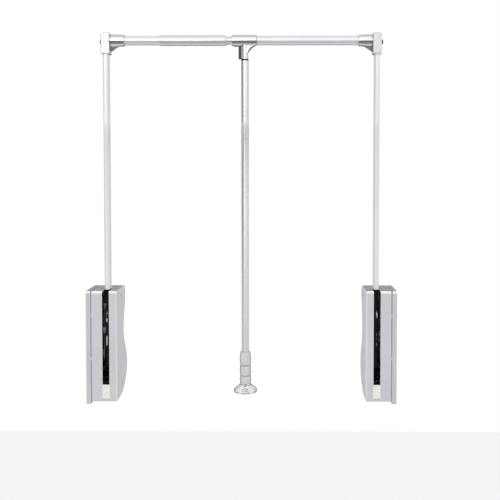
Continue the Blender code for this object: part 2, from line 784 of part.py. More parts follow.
def make_strut(side, parent):
    """The gas strut, built down its own axis from the anchor pin."""
    axis = empty(side + "_strut_axis", parent, (STRUT_X, STRUT_ANCHOR_Y, STRUT_ANCHOR_Z))
    axis.rotation_euler.x = STRUT_TILT
    half = STRUT_EYE_WIDTH / 2
    bore_top = -BARREL_START - BARREL_END_WALL
    barrel = turned(
        side + "_strut_barrel",
        [
            (0, bore_top),
            (BARREL_BORE_RADIUS, bore_top),
            (BARREL_BORE_RADIUS, -BARREL_END + BARREL_END_WALL),
            (ROD_RADIUS + GAP, -BARREL_END + BARREL_END_WALL),
            (ROD_RADIUS + GAP, -BARREL_END),
            (BARREL_RADIUS - EDGE, -BARREL_END),
            (BARREL_RADIUS, -BARREL_END + EDGE),
            (BARREL_RADIUS, -BARREL_START - EDGE),
            (BARREL_RADIUS - EDGE, -BARREL_START),
            (BARREL_NECK_RADIUS, -BARREL_START),
            (BARREL_NECK_RADIUS, -half),
            (0, -half),
        ][::-1],
        False,
        sides=ROUND_SIDES,
    )
    eye = round_bar(side + "_barrel_eye", BARREL_EYE_RADIUS, -2 * half, 2 * half, sides=SMALL_SIDES)
    flats = eye_flats(side + "_barrel_eye", EDGE - BARREL_START, EYE_CUT)
    hole = round_bar(side + "_barrel_eye_hole", STRUT_PIN_RADIUS + GAP, -EYE_CUT, EYE_CUT, sides=SMALL_SIDES)
    put(barrel, "black_steel", axis)
    boolean(barrel, "UNION", [eye])
    boolean(barrel, "DIFFERENCE", [*flats, hole])
    rod_bottom = -STRUT_LENGTH + ROD_SEAT
    piston = BARREL_BORE_RADIUS - PISTON_CLEARANCE
    rod = turned(
        side + "_strut_rod",
        [
            (0, -ROD_TOP),
            (piston, -ROD_TOP),
            (piston, -ROD_TOP - PISTON_LENGTH),
            (ROD_RADIUS, -ROD_TOP - PISTON_LENGTH),
            (ROD_RADIUS, rod_bottom),
            (0, rod_bottom),
        ],
        False,
        sides=SMALL_SIDES,
    )
    put(rod, "chrome", axis)
    end = -STRUT_LENGTH
    rod_eye = round_bar(side + "_strut_rod_eye", ROD_EYE_RADIUS, -2 * half, 2 * half, 0, end, SMALL_SIDES)
    socket = turned(
        side + "_rod_eye_neck",
        [
            (0, end + ROD_EYE_NECK),
            (ROD_EYE_NECK_RADIUS, end + ROD_EYE_NECK),
            (ROD_EYE_NECK_RADIUS, end),
            (0, end),
        ],
        False,
        sides=SMALL_SIDES,
    )
    seat = turned(
        side + "_rod_seat",
        [
            (0, end + 2 * ROD_EYE_NECK),
            (ROD_RADIUS + GAP, end + 2 * ROD_EYE_NECK),
            (ROD_RADIUS + GAP, rod_bottom - GAP),
            (0, rod_bottom - GAP),
        ],
        False,
        sides=SMALL_SIDES,
    )
    flats = eye_flats(side + "_rod_eye", end - EYE_CUT, end + ROD_EYE_NECK / 2)
    pin_hole = round_bar(
        side + "_rod_eye_hole", CRANK_PIN_RADIUS + GAP, -EYE_CUT, EYE_CUT, 0, end, SMALL_SIDES
    )
    put(rod_eye, "black_steel", axis)
    boolean(rod_eye, "UNION", [socket])
    boolean(rod_eye, "DIFFERENCE", [seat, *flats, pin_hole])


def make_arm_tube(side, parent):
    half, deep = ARM_WIDTH / 2, ARM_DEPTH / 2
    outer = rounded_rectangle((ARM_X - half, -deep), (ARM_X + half, deep), ARM_CORNER, 5)
    inner = rounded_rectangle(
        (ARM_X - half + ARM_WALL, -deep + ARM_WALL),
        (ARM_X + half - ARM_WALL, deep - ARM_WALL),
        ARM_CORNER - ARM_WALL,
        5,
    )
    tube = outline_solid(side + "_arm_tube", [outer, inner], ARM_TUBE_BOTTOM, ARM_TUBE_TOP, "Z")
    put(tube, "satin_aluminium", parent)


def concave_web(top_start, top_end, foot_x, foot_z, steps=8):
    """A web under a barrel: level on top, hollowed like a quarter of an ellipse towards its foot."""
    (x0, z0), x1 = top_start, top_end
    turns = [math.pi / 2 * (i + 1) / steps for i in range(steps)]
    hollow = [
        (x1 - (x1 - foot_x) * math.sin(turn), z0 - (z0 - foot_z) * (1 - math.cos(turn))) for turn in turns
    ]
    return [(x0, z0), (x1, z0), *hollow, (x0, foot_z)]


def make_corner(side, parent):
    """The fitting that joins an arm's top to the rail's end, and its bolt and plug."""
    deep = CORNER_DEPTH / 2
    edge, outer = CORNER_EDGE_RADIUS, CORNER_OUTER_RADIUS
    outline = arc((CORNER_END - edge, CORNER_BOTTOM + edge), edge, -90, 0, 2)
    outline += arc((CORNER_END - edge, CORNER_TOP - edge), edge, 0, 90, 2)
    outline += arc((CORNER_START + outer, CORNER_TOP - outer), outer, 90, 180, 5)
    outline += arc((CORNER_START + edge, CORNER_BOTTOM + edge), edge, 180, 270, 2)
    block = outline_solid(side + "_corner_fitting", [outline], -deep, deep, "Y")
    for y in (-deep, deep):
        round_edges_at(block, 1, y, CORNER_FACE_RADIUS, 2)
    collar = turned(
        side + "_corner_collar",
        [
            (0, RAIL_SEAT),
            (RAIL_RADIUS + GAP, RAIL_SEAT),
            (RAIL_RADIUS + GAP, COLLAR_END),
            (COLLAR_RADIUS - EDGE, COLLAR_END),
            (COLLAR_RADIUS, COLLAR_END - EDGE),
            (COLLAR_RADIUS, ARM_X),
            (0, ARM_X),
        ],
        False,
        "X",
    )
    collar.location.z = RAIL_Z
    web_top = RAIL_Z - (RAIL_RADIUS + GAP + COLLAR_RADIUS) / 2
    web = concave_web((ARM_X, web_top), COLLAR_END - GUSSET_INSET, CORNER_END - edge / 2, GUSSET_FOOT_Z)
    gusset = outline_solid(
        side + "_corner_gusset", [web[::-1]], -GUSSET_THICKNESS / 2, GUSSET_THICKNESS / 2, "Y"
    )
    socket = outline_solid(
        side + "_corner_socket",
        [
            rounded_rectangle(
                (ARM_X - ARM_WIDTH / 2 - GAP, -ARM_DEPTH / 2 - GAP),
                (ARM_X + ARM_WIDTH / 2 + GAP, ARM_DEPTH / 2 + GAP),
                ARM_CORNER + GAP,
            )
        ],
        CORNER_BOTTOM - SOCKET_DEPTH,
        CORNER_BOTTOM + SOCKET_DEPTH,
        "Z",
    )
    bolt_hole = round_bar(
        side + "_bolt_hole", CORNER_BOLT_RADIUS + GAP, 0, CORNER_BOLT_END, 0, CORNER_BOLT_Z, SMALL_SIDES
    )
    put(block, "cast_metal", parent)
    boolean(block, "UNION", [collar, gusset])
    boolean(block, "DIFFERENCE", [socket, bolt_hole])
    axis = empty(side + "_corner_bolt_axis", parent, (0, 0, CORNER_BOLT_Z))
    seat = CORNER_START - GAP
    bolt = turned(
        side + "_corner_bolt",
        [
            (0, CORNER_BOLT_END),
            (CORNER_BOLT_RADIUS, CORNER_BOLT_END),
            (CORNER_BOLT_RADIUS, seat),
            (CORNER_BOLT_HEAD_RADIUS, seat),
            (CORNER_BOLT_HEAD_RADIUS, seat - CORNER_BOLT_HEAD * BOLT_CHAMFER[1]),
            (CORNER_BOLT_HEAD_RADIUS * BOLT_CHAMFER[0], seat - CORNER_BOLT_HEAD),
            (0, seat - CORNER_BOLT_HEAD),
        ],
        False,
        "X",
        SMALL_SIDES,
    )
    put(bolt, "black_steel", axis)
    plug = round_bar(side + "_rail_plug", NECK_RADIUS, RAIL_SEAT + GAP, PLUG_END, 0, RAIL_Z, SMALL_SIDES)
    put(plug, "bush_plastic", parent)
    plug_hole = round_bar(
        side + "_plug_hole", CORNER_BOLT_RADIUS + GAP, 0, PLUG_END * 2, 0, CORNER_BOLT_Z, SMALL_SIDES
    )
    boolean(plug, "DIFFERENCE", [plug_hole])


def make_rail(parent):
    """The left tube slides in the sleeve. The sleeve's neck carries the tee and enters the right tube."""
    left = tube_x(
        "left_rail_tube", RAIL_BORE_RADIUS, RAIL_RADIUS, RAIL_SEAT + GAP, RAIL_LEFT_END, ROUND_SIDES
    )
    put(left, "satin_aluminium", parent)
    right = tube_x(
        "right_rail_tube",
        RAIL_BORE_RADIUS,
        RAIL_RADIUS,
        TEE_END + GAP,
        OVERALL_WIDTH - RAIL_SEAT - GAP,
        ROUND_SIDES,
    )
    put(right, "satin_aluminium", parent)
    neck_end = TEE_END + NECK_SPIGOT
    neck_bore = NECK_RADIUS - RAIL_WALL
    sleeve = turned(
        "rail_sleeve",
        [
            (neck_bore, neck_end),
            (NECK_RADIUS, neck_end),
            (NECK_RADIUS, SLEEVE_TAPER_END),
            (SLEEVE_RADIUS, SLEEVE_TAPER_START),
            (SLEEVE_RADIUS, SLEEVE_START + SLEEVE_LIP),
            (SLEEVE_RADIUS - SLEEVE_LIP / 2, SLEEVE_START),
            (SLEEVE_BORE_RADIUS, SLEEVE_START),
            (SLEEVE_BORE_RADIUS, SLEEVE_TAPER_START - RAIL_WALL),
            (neck_bore, SLEEVE_TAPER_END - RAIL_WALL),
        ],
        True,
        "X",
    )
    put(sleeve, "satin_aluminium", parent)


def make_tee(parent):
    barrel = turned(
        "handle_tee",
        [
            (0, TEE_RIGHT),
            (TEE_RADIUS - TEE_EDGE, TEE_RIGHT),
            (TEE_RADIUS, TEE_RIGHT - TEE_EDGE),
            (TEE_RADIUS, -TEE_LEFT + TEE_EDGE),
            (TEE_RADIUS - TEE_EDGE, -TEE_LEFT),
            (0, -TEE_LEFT),
        ],
        False,
        "X",
    )
    spigot_bottom = -STEM_DROP - TEE_SPIGOT_LENGTH
    stem = turned(
        "tee_stem",
        [
            (0, -TEE_RADIUS / 2),
            (STEM_RADIUS, -TEE_RADIUS / 2),
            (STEM_RADIUS, -STEM_DROP),
            (SPIGOT_RADIUS, -STEM_DROP),
            (SPIGOT_RADIUS, spigot_bottom),
            (0, spigot_bottom),
        ],
        False,
        sides=ROUND_SIDES,
    )
    rib = box(
        "tee_rib",
        (-RIB_OUT, -RIB_DEPTH / 2, -STEM_DROP),
        (-STEM_RADIUS / 2, RIB_DEPTH / 2, -RIB_DROP),
    )
    web = concave_web(
        (0, -TEE_GUSSET_START), TEE_RIGHT - TEE_EDGE, STEM_RADIUS - TEE_EDGE, TEE_GUSSET_RISE - STEM_DROP
    )
    gusset = outline_solid(
        "tee_gusset", [web[::-1]], -TEE_GUSSET_THICKNESS / 2, TEE_GUSSET_THICKNESS / 2, "Y"
    )
    bore = round_bar("tee_bore", NECK_RADIUS + GAP, -2 * TEE_LEFT, 2 * TEE_RIGHT)
    put(barrel, "cast_metal", parent)
    boolean(barrel, "UNION", [stem, rib, gusset])
    boolean(barrel, "DIFFERENCE", [bore])


def grip_radius(z):
    """The grip swells between its shoulder, its two rings and its foot."""
    stops = [GRIP_TOP - GRIP_SHOULDER, *GRIP_RINGS, GRIP_BOTTOM]
    if z > stops[0]:
        share = (GRIP_TOP - z) / GRIP_SHOULDER
        return GRIP_MOUTH_RADIUS + (GRIP_WAIST_RADIUS - GRIP_MOUTH_RADIUS) * math.sin(math.pi / 2 * share)
    for high, low in zip(stops, stops[1:]):
        if z >= low:
            break
    share = (high - z) / (high - low)
    return GRIP_WAIST_RADIUS + GRIP_SWELL * math.sin(math.pi * share)


def grip_profile():
    heights = [GRIP_TOP - GRIP_SHOULDER * i / 3 for i in range(3)]
    stops = [GRIP_TOP - GRIP_SHOULDER, *GRIP_RINGS, GRIP_BOTTOM]
    for high, low in zip(stops, stops[1:]):
        heights += [high + (low - high) * i / 4 for i in range(4)]
    heights.append(GRIP_BOTTOM)
    points = []
    for z in heights:
        if z in GRIP_RINGS:
            depth = GRIP_WAIST_RADIUS - GRIP_RING_DEPTH
            points += [
                (GRIP_WAIST_RADIUS, z + GRIP_RING_HALF_WIDTH),
                (depth, z + GRIP_RING_HALF_WIDTH / 2),
                (depth, z - GRIP_RING_HALF_WIDTH / 2),
                (GRIP_WAIST_RADIUS, z - GRIP_RING_HALF_WIDTH),
            ]
        else:
            points.append((grip_radius(z), z))
    return points


def foot_profile(steps=6):
    """The flared end of the handle, from its spigot down, with a blind hole for its screw."""
    low = FOOT_BOTTOM
    neck = GRIP_BOTTOM - GAP
    rim_top = low + FOOT_RIM
    flare = []
    for i in range(steps + 1):
        turn = math.pi / 2 * i / steps
        out = (1 - math.cos(turn)) ** FOOT_FLARE
        radius = FOOT_NECK_RADIUS + (FOOT_RADIUS - FOOT_NECK_RADIUS) * out
        flare.append((radius, neck + (rim_top - neck) * math.sin(turn)))
    hole = FOOT_SCREW_RADIUS + GAP
    head = FOOT_SCREW_HEAD_RADIUS + GAP
    return [
        (0, FOOT_SPIGOT_TOP),
        (SPIGOT_RADIUS, FOOT_SPIGOT_TOP),
        (SPIGOT_RADIUS, neck),
        *flare,
        (FOOT_RADIUS - FOOT_RIM / 4, low),
        (head, low),
        (head, low + FOOT_RECESS),
        (hole, low + FOOT_RECESS),
        (hole, FOOT_SCREW_TOP + GAP),
        (0, FOOT_SCREW_TOP + GAP),
    ]


def make_handle(parent):
    """The pole, its ring, grip, foot and foot screw, all hung from the tee."""

    def from_rail(profile):
        return [(radius, z - RAIL_Z) for radius, z in profile]

    ring_bottom = STEM_BOTTOM - GAP - POLE_RING_HEIGHT
    ring = turned(
        "pole_ring",
        from_rail(
            [
                (POLE_RADIUS, STEM_BOTTOM - GAP),
                (POLE_RADIUS, ring_bottom),
                (POLE_BORE_RADIUS, ring_bottom),
                (POLE_BORE_RADIUS, STEM_BOTTOM - GAP),
            ]
        ),
        True,
    )
    put(ring, "black_steel", parent)
    pole = turned(
        "handle_pole",
        from_rail(
            [
                (POLE_RADIUS, POLE_TOP),
                (POLE_RADIUS, POLE_BOTTOM),
                (POLE_BORE_RADIUS, POLE_BOTTOM),
                (POLE_BORE_RADIUS, POLE_TOP),
            ]
        ),
        True,
    )
    put(pole, "satin_aluminium", parent)
    grip_bore = POLE_RADIUS + GAP
    grip = turned(
        "handle_grip", from_rail([*grip_profile(), (grip_bore, GRIP_BOTTOM), (grip_bore, GRIP_TOP)]), True
    )
    put(grip, "grip_plastic", parent)
    foot = turned("handle_foot", from_rail(foot_profile()), False)
    put(foot, "grip_plastic", parent)
    seat = FOOT_BOTTOM + FOOT_RECESS - GAP
    screw = turned(
        "foot_screw",
        from_rail(
            [
                (0, FOOT_SCREW_TOP),
                (FOOT_SCREW_RADIUS, FOOT_SCREW_TOP),
                (FOOT_SCREW_RADIUS, seat),
                (FOOT_SCREW_HEAD_RADIUS, seat),
                (FOOT_SCREW_HEAD_RADIUS, seat - FOOT_RECESS / 2),
                (0, seat - FOOT_RECESS / 2),
            ]
        ),
        False,
        sides=SMALL_SIDES,
    )
    put(screw, "zinc_steel", parent)


def make_side(side, parent):
    make_wall_plate(side, parent)
    make_housing_shell(side, parent)
    make_housing_cover(side, parent)
    make_buffer(side, parent)
    make_frame(side, parent)
    make_pivot(side, parent)
    make_posts(side, parent)
    make_strut(side, parent)
    make_arm_lever(side, parent)
    make_crank_pin(side, parent)
    make_arm_tube(side, parent)
    make_corner(side, parent)


clear_scene()
part = new_collection("wardrobe_lift")
cutters = new_collection("wardrobe_lift_cutters")
make_side("left", empty("left_swing_axis", None))
right_side = empty("right_swing_axis", None, (OVERALL_WIDTH, 0, 0))
right_side.scale.x = -1
make_side("right", right_side)
make_rail(empty("rail_axis", None, (0, 0, RAIL_Z)))
handle_axis = empty("handle_swing_axis", None, (TEE_X, 0, RAIL_Z))
make_tee(handle_axis)
make_handle(handle_axis)
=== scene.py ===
import json
import math

import bmesh
import bpy
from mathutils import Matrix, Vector

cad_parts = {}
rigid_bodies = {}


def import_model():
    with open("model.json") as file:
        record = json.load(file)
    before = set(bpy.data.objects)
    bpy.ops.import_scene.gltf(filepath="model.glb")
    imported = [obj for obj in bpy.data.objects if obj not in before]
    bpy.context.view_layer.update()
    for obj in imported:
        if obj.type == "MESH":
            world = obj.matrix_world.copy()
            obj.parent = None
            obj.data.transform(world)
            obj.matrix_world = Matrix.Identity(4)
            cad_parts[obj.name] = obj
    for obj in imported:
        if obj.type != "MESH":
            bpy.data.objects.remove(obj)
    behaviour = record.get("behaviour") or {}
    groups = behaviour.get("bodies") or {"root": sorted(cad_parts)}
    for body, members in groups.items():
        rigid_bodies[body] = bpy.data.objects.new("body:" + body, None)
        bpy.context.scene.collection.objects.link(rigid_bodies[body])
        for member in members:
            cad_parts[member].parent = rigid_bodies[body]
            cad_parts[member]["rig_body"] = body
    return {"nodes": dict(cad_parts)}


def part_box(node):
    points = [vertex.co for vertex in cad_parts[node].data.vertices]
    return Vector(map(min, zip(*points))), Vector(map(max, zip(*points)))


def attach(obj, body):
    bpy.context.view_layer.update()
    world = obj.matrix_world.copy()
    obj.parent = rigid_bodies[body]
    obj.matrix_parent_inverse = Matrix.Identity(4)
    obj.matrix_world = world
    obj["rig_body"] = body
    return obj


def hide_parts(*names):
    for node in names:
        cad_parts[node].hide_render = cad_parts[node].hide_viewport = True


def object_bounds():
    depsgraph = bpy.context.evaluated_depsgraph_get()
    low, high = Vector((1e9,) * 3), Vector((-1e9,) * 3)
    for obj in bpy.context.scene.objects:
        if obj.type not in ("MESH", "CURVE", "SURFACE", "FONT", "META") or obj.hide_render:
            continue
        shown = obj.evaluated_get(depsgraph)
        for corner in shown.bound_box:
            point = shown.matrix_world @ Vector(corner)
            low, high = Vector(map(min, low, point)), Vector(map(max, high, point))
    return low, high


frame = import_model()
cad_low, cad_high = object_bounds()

MM = 0.001
X, Y, Z = range(3)
SIDES = ("left", "right")
NODES = frame["nodes"]

# The rail's line, and the pole's line below it
rail_low, rail_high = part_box("left_rail_tube")
pole_low, pole_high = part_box("handle_pole")
MIDDLE_X = (cad_low.x + cad_high.x) / 2
RAIL_Z = (rail_low.z + rail_high.z) / 2
RAIL_RADIUS = (rail_high.z - rail_low.z) / 2
RAIL_LINE = (0.0, 0.0, RAIL_Z)
POLE_X = (pole_low.x + pole_high.x) / 2
POLE_RADIUS = (pole_high.x - pole_low.x) / 2
POLE_LINE = (POLE_X, 0.0, 0.0)

# Room between pieces that fit into each other
FIT = 0.3 * MM

# How far edges are rounded off
EDGE = 0.3 * MM
ARM_EDGE = 0.25 * MM
LEVER_EDGE = 0.4 * MM
CAST_EDGE = 0.4 * MM
TUBE_EDGE = 0.4 * MM
HOUSING_EDGE = 0.6 * MM
PLATE_EDGE = 0.7 * MM
BUFFER_EDGE = 1.2 * MM

# The block of each corner fitting, measured from the wall
BLOCK_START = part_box("left_corner_fitting")[0].x
BLOCK_WIDTH = 20 * MM
BLOCK_END = BLOCK_START + BLOCK_WIDTH
BLOCK_BLUR = 0.3 * MM

# Height and greatest depth of each groove in the grip
GRIP_GROOVES = ((-2.6 * MM, 0.7 * MM), (-26.6 * MM, 0.35 * MM))

# Painted shade in the housings' groove and painted highlight along their front edges. Each pair is where
# it
# begins and where it is full: the groove's from the wall and behind the plate's front, and the highlights'
# short of the corner.
PLATE_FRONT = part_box("left_wall_plate")[0].y
GROOVE_SIDE = (9.4 * MM, 9.8 * MM)
GROOVE_DEPTH = (0.7 * MM, 1.2 * MM)
TOP_HIGHLIGHT = (5.5 * MM, 4.6 * MM)
INNER_HIGHLIGHT = (4.0 * MM, 2.6 * MM)

# The lever's middle, measured from the wall, and the height and half length of each rubbed place
LEVER_MIDDLE = 45.5 * MM
LEVER_RUBS = ((113 * MM, 15 * MM), (59 * MM, 16 * MM))
LEVER_BLUR = 0.5 * MM

# How far wear, the housings' painted edge highlight and the blocks' painted dark rim reach from an edge,
# the castings' painted crease shade into the open, and the grip's darkening from a groove
HOUSING_WEAR_AND_HIGHLIGHT = 1.2 * MM
STEEL_WEAR = 0.8 * MM
BLOCK_RIM_SHADE = 2.2 * MM
CREASE_SHADE = 5 * MM
GROOVE_DARKENING = (0.3 * MM, 1.2 * MM)

scene = bpy.context.scene
scene.view_settings.view_transform = "Standard"
pieces = bpy.data.collections.new("pieces")
studio = bpy.data.collections.new("studio")
scene.collection.children.link(pieces)
scene.collection.children.link(studio)

# Camera
CAMERA_PLACE = (0.4473, -2.0800, 0.4633)
CAMERA_PITCH = 2.5
CAMERA_TURN = 0.28
CAMERA_LENS = 64.5
CAMERA_SHIFT = (-0.052, -0.09)
CAMERA_CLIP = (0.05, 60.0)

camera_data = bpy.data.cameras.new("camera")
camera_data.lens = CAMERA_LENS
camera_data.shift_x, camera_data.shift_y = CAMERA_SHIFT
camera_data.clip_start, camera_data.clip_end = CAMERA_CLIP
camera = bpy.data.objects.new("camera", camera_data)
camera.location = CAMERA_PLACE
camera.rotation_euler = (math.radians(90.0 - CAMERA_PITCH), 0.0, math.radians(CAMERA_TURN))
scene.collection.objects.link(camera)
scene.camera = camera


def srgb(red, green, blue):
    """A colour as read off a screen, in the linear values that shaders use."""
    def linear(value):
        value /= 255.0
        return value / 12.92 if value <= 0.04045 else ((value + 0.055) / 1.055) ** 2.4
    return (linear(red), linear(green), linear(blue), 1.0)


class Nodes:
    """A node tree in the making."""

    def __init__(self, tree):
        self.tree = tree

    def node(self, kind, **settings):
        made = self.tree.nodes.new(kind)
        for key, value in settings.items():
            setattr(made, key, value)
        return made

    def link(self, source, target):
        self.tree.links.new(source, target)

    def axes(self, vector):
        """The outputs X, Y and Z of a vector."""
        made = self.node("ShaderNodeSeparateXYZ")
        self.link(vector, made.inputs[0])
        return made.outputs

    def spread(self, value, low, high, out_low=0.0, out_high=1.0):
        """value, taken from low..high to out_low..out_high."""
        made = self.node("ShaderNodeMapRange")
        limits = {"From Min": low, "From Max": high, "To Min": out_low, "To Max": out_high}
        for socket, number in limits.items():
            made.inputs[socket].default_value = number
        self.link(value, made.inputs["Value"])
        return made.outputs["Result"]

    def maths(self, operation, first, second):
        made = self.node("ShaderNodeMath", operation=operation)
        for socket, value in zip(made.inputs, (first, second)):
            if isinstance(value, bpy.types.NodeSocket):
                self.link(value, socket)
            else:
                socket.default_value = value
        return made.outputs["Value"]


class Shader(Nodes):
    """A material in the making: a Principled shader and the nodes that feed it."""

    def __init__(self, name, **values):
        self.material = bpy.data.materials.new(name)
        self.material.use_nodes = True
        super().__init__(self.material.node_tree)
        self.surface = self.tree.nodes["Principled BSDF"]
        for socket, value in values.items():
            self.surface.inputs[socket.replace("_", " ")].default_value = value
        self.place = self.node("ShaderNodeTexCoord").outputs["Object"]

    def noise(self, scale, detail=3.0, roughness=0.5, stretch=(1.0, 1.0, 1.0)):
        """Noise with about scale grains to the metre, times stretch along each axis."""
        mapping = self.node("ShaderNodeMapping")
        mapping.inputs["Scale"].default_value = stretch
        self.link(self.place, mapping.inputs["Vector"])
        made = self.node("ShaderNodeTexNoise")
        made.inputs["Scale"].default_value = scale
        made.inputs["Detail"].default_value = detail
        made.inputs["Roughness"].default_value = roughness
        self.link(mapping.outputs["Vector"], made.inputs["Vector"])
        return made.outputs["Fac"]

    def distance(self, value, centre):
        """How far value is from centre."""
        return self.maths("ABSOLUTE", self.maths("SUBTRACT", value, centre), 0.0)

    def from_middle(self):
        """How far a point is from the middle of the lift, along the rail."""
        return self.distance(self.axes(self.place)["X"], MIDDLE_X)

    def mixed(self, share, first, second):
        """A colour between first and second, each a colour or another node's output."""
        made = self.node("ShaderNodeMix", data_type="RGBA")
        self.link(share, made.inputs["Factor"])
        for socket, colour in ((made.inputs[6], first), (made.inputs[7], second)):
            if isinstance(colour, bpy.types.NodeSocket):
                self.link(colour, socket)
            else:
                socket.default_value = colour
        return made.outputs[2]

    def mottled(self, first, second, scale, detail=3.0, roughness=0.5, low=0.3, high=0.7):
        """A colour that wanders between first and second with noise, which is taken from low to high."""
        return self.mixed(self.spread(self.noise(scale, detail, roughness), low, high), first, second)

    def outer_edges(self, width):
        """1 on outer edges, 0 on flats further than width from one."""
        made = self.node("ShaderNodeAmbientOcclusion", samples=8, inside=True, only_local=True)
        made.inputs["Distance"].default_value = width
        return self.spread(made.outputs["AO"], 0.5, 0.85, 1.0, 0.0)

    def crease_shade(self, distance):
        """1 in corners and seams closer than distance, 0 in the open: where shade is painted."""
        made = self.node("ShaderNodeAmbientOcclusion", samples=8)
        made.inputs["Distance"].default_value = distance
        return self.spread(made.outputs["AO"], 0.3, 0.95, 1.0, 0.0)

    def bump(self, height, strength, distance):
        """Shades the surface as if it stood out by distance where height is 1."""
        made = self.node("ShaderNodeBump")
        made.inputs["Strength"].default_value = strength
        made.inputs["Distance"].default_value = distance
        self.link(height, made.inputs["Height"])
        self.link(made.outputs["Normal"], self.surface.inputs["Normal"])

    def colour(self, value):
        self.link(value, self.surface.inputs["Base Color"])

    def metallic(self, value):
        self.link(value, self.surface.inputs["Metallic"])

    def roughness(self, value):
        self.link(value, self.surface.inputs["Roughness"])

    def uneven_roughness(self, low, high, scale, detail=3.0):
        """Lets the roughness wander between low and high."""
        self.roughness(self.spread(self.noise(scale, detail), 0.3, 0.7, low, high))


def painted_corner_highlight(shader):
    """1 along the rounded top front edge of the housings, weaker along their inner front edge: where a
    highlight is painted.
    """
    low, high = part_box("left_housing_cover")
    place = shader.axes(shader.place)
    forward = shader.maths("MULTIPLY", place["Y"], -1.0)
    top_edge = -low.y + high.z
    upwards = shader.maths("ADD", forward, place["Z"])
    top = shader.spread(upwards, top_edge - TOP_HIGHLIGHT[0], top_edge - TOP_HIGHLIGHT[1])
    inner_edge = -low.y - (MIDDLE_X - high.x)
    inwards = shader.maths("SUBTRACT", forward, shader.from_middle())
    inner = shader.spread(inwards, inner_edge - INNER_HIGHLIGHT[0], inner_edge - INNER_HIGHLIGHT[1], 0.0, 0.5)
    return shader.maths("MAXIMUM", top, inner)


def groove_shadow(shader):
    """1 in the groove between wall plate and cover, where shade is painted."""
    from_wall = shader.maths("SUBTRACT", MIDDLE_X, shader.from_middle())
    start = shader.spread(from_wall, *GROOVE_SIDE)
    depth = shader.axes(shader.place)["Y"]
    deep = shader.spread(depth, PLATE_FRONT + GROOVE_DEPTH[0], PLATE_FRONT + GROOVE_DEPTH[1])
    return shader.maths("MULTIPLY", start, deep)


def painted_top_shade(shader):
    """1 where a face looks up, broken up by noise: where shade is painted on the top faces."""
    facing = shader.axes(shader.node("ShaderNodeNewGeometry").outputs["Normal"])
    flat = shader.spread(facing["Z"], 0.8, 0.97)
    return shader.maths("MULTIPLY", flat, shader.spread(shader.noise(90.0, 4.0), 0.25, 0.6, 0.7, 1.0))


def housing_plastic(name, colour, shade, groove=False):
    """Silver-grey moulded plastic: fine grain, an uneven tone, painted shade on top and in the groove, and
    pale edges, partly worn and partly painted highlight.
    """
    shader = Shader(name, Roughness=0.4, IOR=1.5, Specular_IOR_Level=0.45)
    base = shader.mottled(colour, shade, 14.0, 4.0, 0.55)
    # Painted shade on the faces that look up.
    base = shader.mixed(painted_top_shade(shader), base, srgb(166, 165, 170))
    # Near-white edges: a painted highlight along the top and inner front edges, and wear on all outer
    # edges.
    worn_and_highlit = shader.maths("MAXIMUM", painted_corner_highlight(shader), shader.outer_edges(HOUSING_WEAR_AND_HIGHLIGHT))
    base = shader.mixed(worn_and_highlit, base, srgb(252, 252, 253))
    if groove:
        # Painted shade in the groove between wall plate and cover.
        base = shader.mixed(groove_shadow(shader), base, srgb(180, 180, 186))
    shader.colour(base)
    shader.uneven_roughness(0.34, 0.46, 260.0, 2.0)
    shader.bump(shader.noise(1500.0, 2.0, 0.6), 0.15, 0.2 * MM)
    return shader.material


def moulded_plastic(name, colour, shade):
    """Plain moulded plastic with a fine grain and an uneven tone."""
    shader = Shader(name, Roughness=0.42, IOR=1.5, Specular_IOR_Level=0.4)
    shader.colour(shader.mottled(colour, shade, 20.0, 4.0, 0.55))
    shader.uneven_roughness(0.36, 0.48, 260.0, 2.0)
    shader.bump(shader.noise(1500.0, 2.0, 0.6), 0.15, 0.2 * MM)
    return shader.material


def satin_metal(name, colour, shade, along, roughness, metallic):
    """Anodised tube, matt from etching, with fine drawing lines along an axis."""
    shader = Shader(name, Metallic=metallic, Roughness=roughness, Specular_IOR_Level=0.6)
    stretch = [1.0, 1.0, 1.0]
    stretch[along] = 0.012
    lines = shader.noise(2600.0, 2.0, 0.5, stretch)
    shader.colour(shader.mottled(colour, shade, 9.0))
    shader.roughness(shader.spread(lines, 0.25, 0.75, roughness - 0.05, roughness + 0.06))
    shader.bump(lines, 0.04, 0.05 * MM)
    return shader.material


def casting(name, colour, shade):
    """Plated casting: polished collars and webs, and a pebbled, satin skin on the block at each arm."""
    shader = Shader(name)
    block_edge = MIDDLE_X - BLOCK_END
    block = shader.spread(shader.from_middle(), block_edge - BLOCK_BLUR, block_edge + BLOCK_BLUR)
    pebbles = shader.spread(shader.noise(620.0, 4.0, 0.65), 0.35, 0.65)
    bright = shader.mottled(colour, srgb(238, 240, 243), 30.0)
    plated = shader.mixed(block, bright, shader.mixed(pebbles, colour, shade))
    # Painted shade: a dark line along the block's edges.
    block_rim = shader.maths("MULTIPLY", shader.outer_edges(BLOCK_RIM_SHADE), block)
    plated = shader.mixed(block_rim, plated, srgb(150, 151, 156))
    # Painted shade in corners and seams.
    shader.colour(shader.mixed(shader.crease_shade(CREASE_SHADE), plated, srgb(112, 114, 118)))
    satin = shader.spread(shader.noise(300.0), 0.3, 0.7, 0.17, 0.27)
    satin = shader.maths("MULTIPLY", satin, block)
    polish = shader.spread(shader.noise(120.0, 3.0, 0.6), 0.3, 0.75, 0.06, 0.17)
    polish = shader.maths("MULTIPLY", polish, shader.maths("SUBTRACT", 1.0, block))
    shader.roughness(shader.maths("ADD", satin, polish))
    shader.metallic(shader.spread(block, 0.0, 1.0, 1.0, 0.45))
    shader.bump(shader.maths("MULTIPLY", pebbles, block), 0.6, 0.2 * MM)
    return shader.material


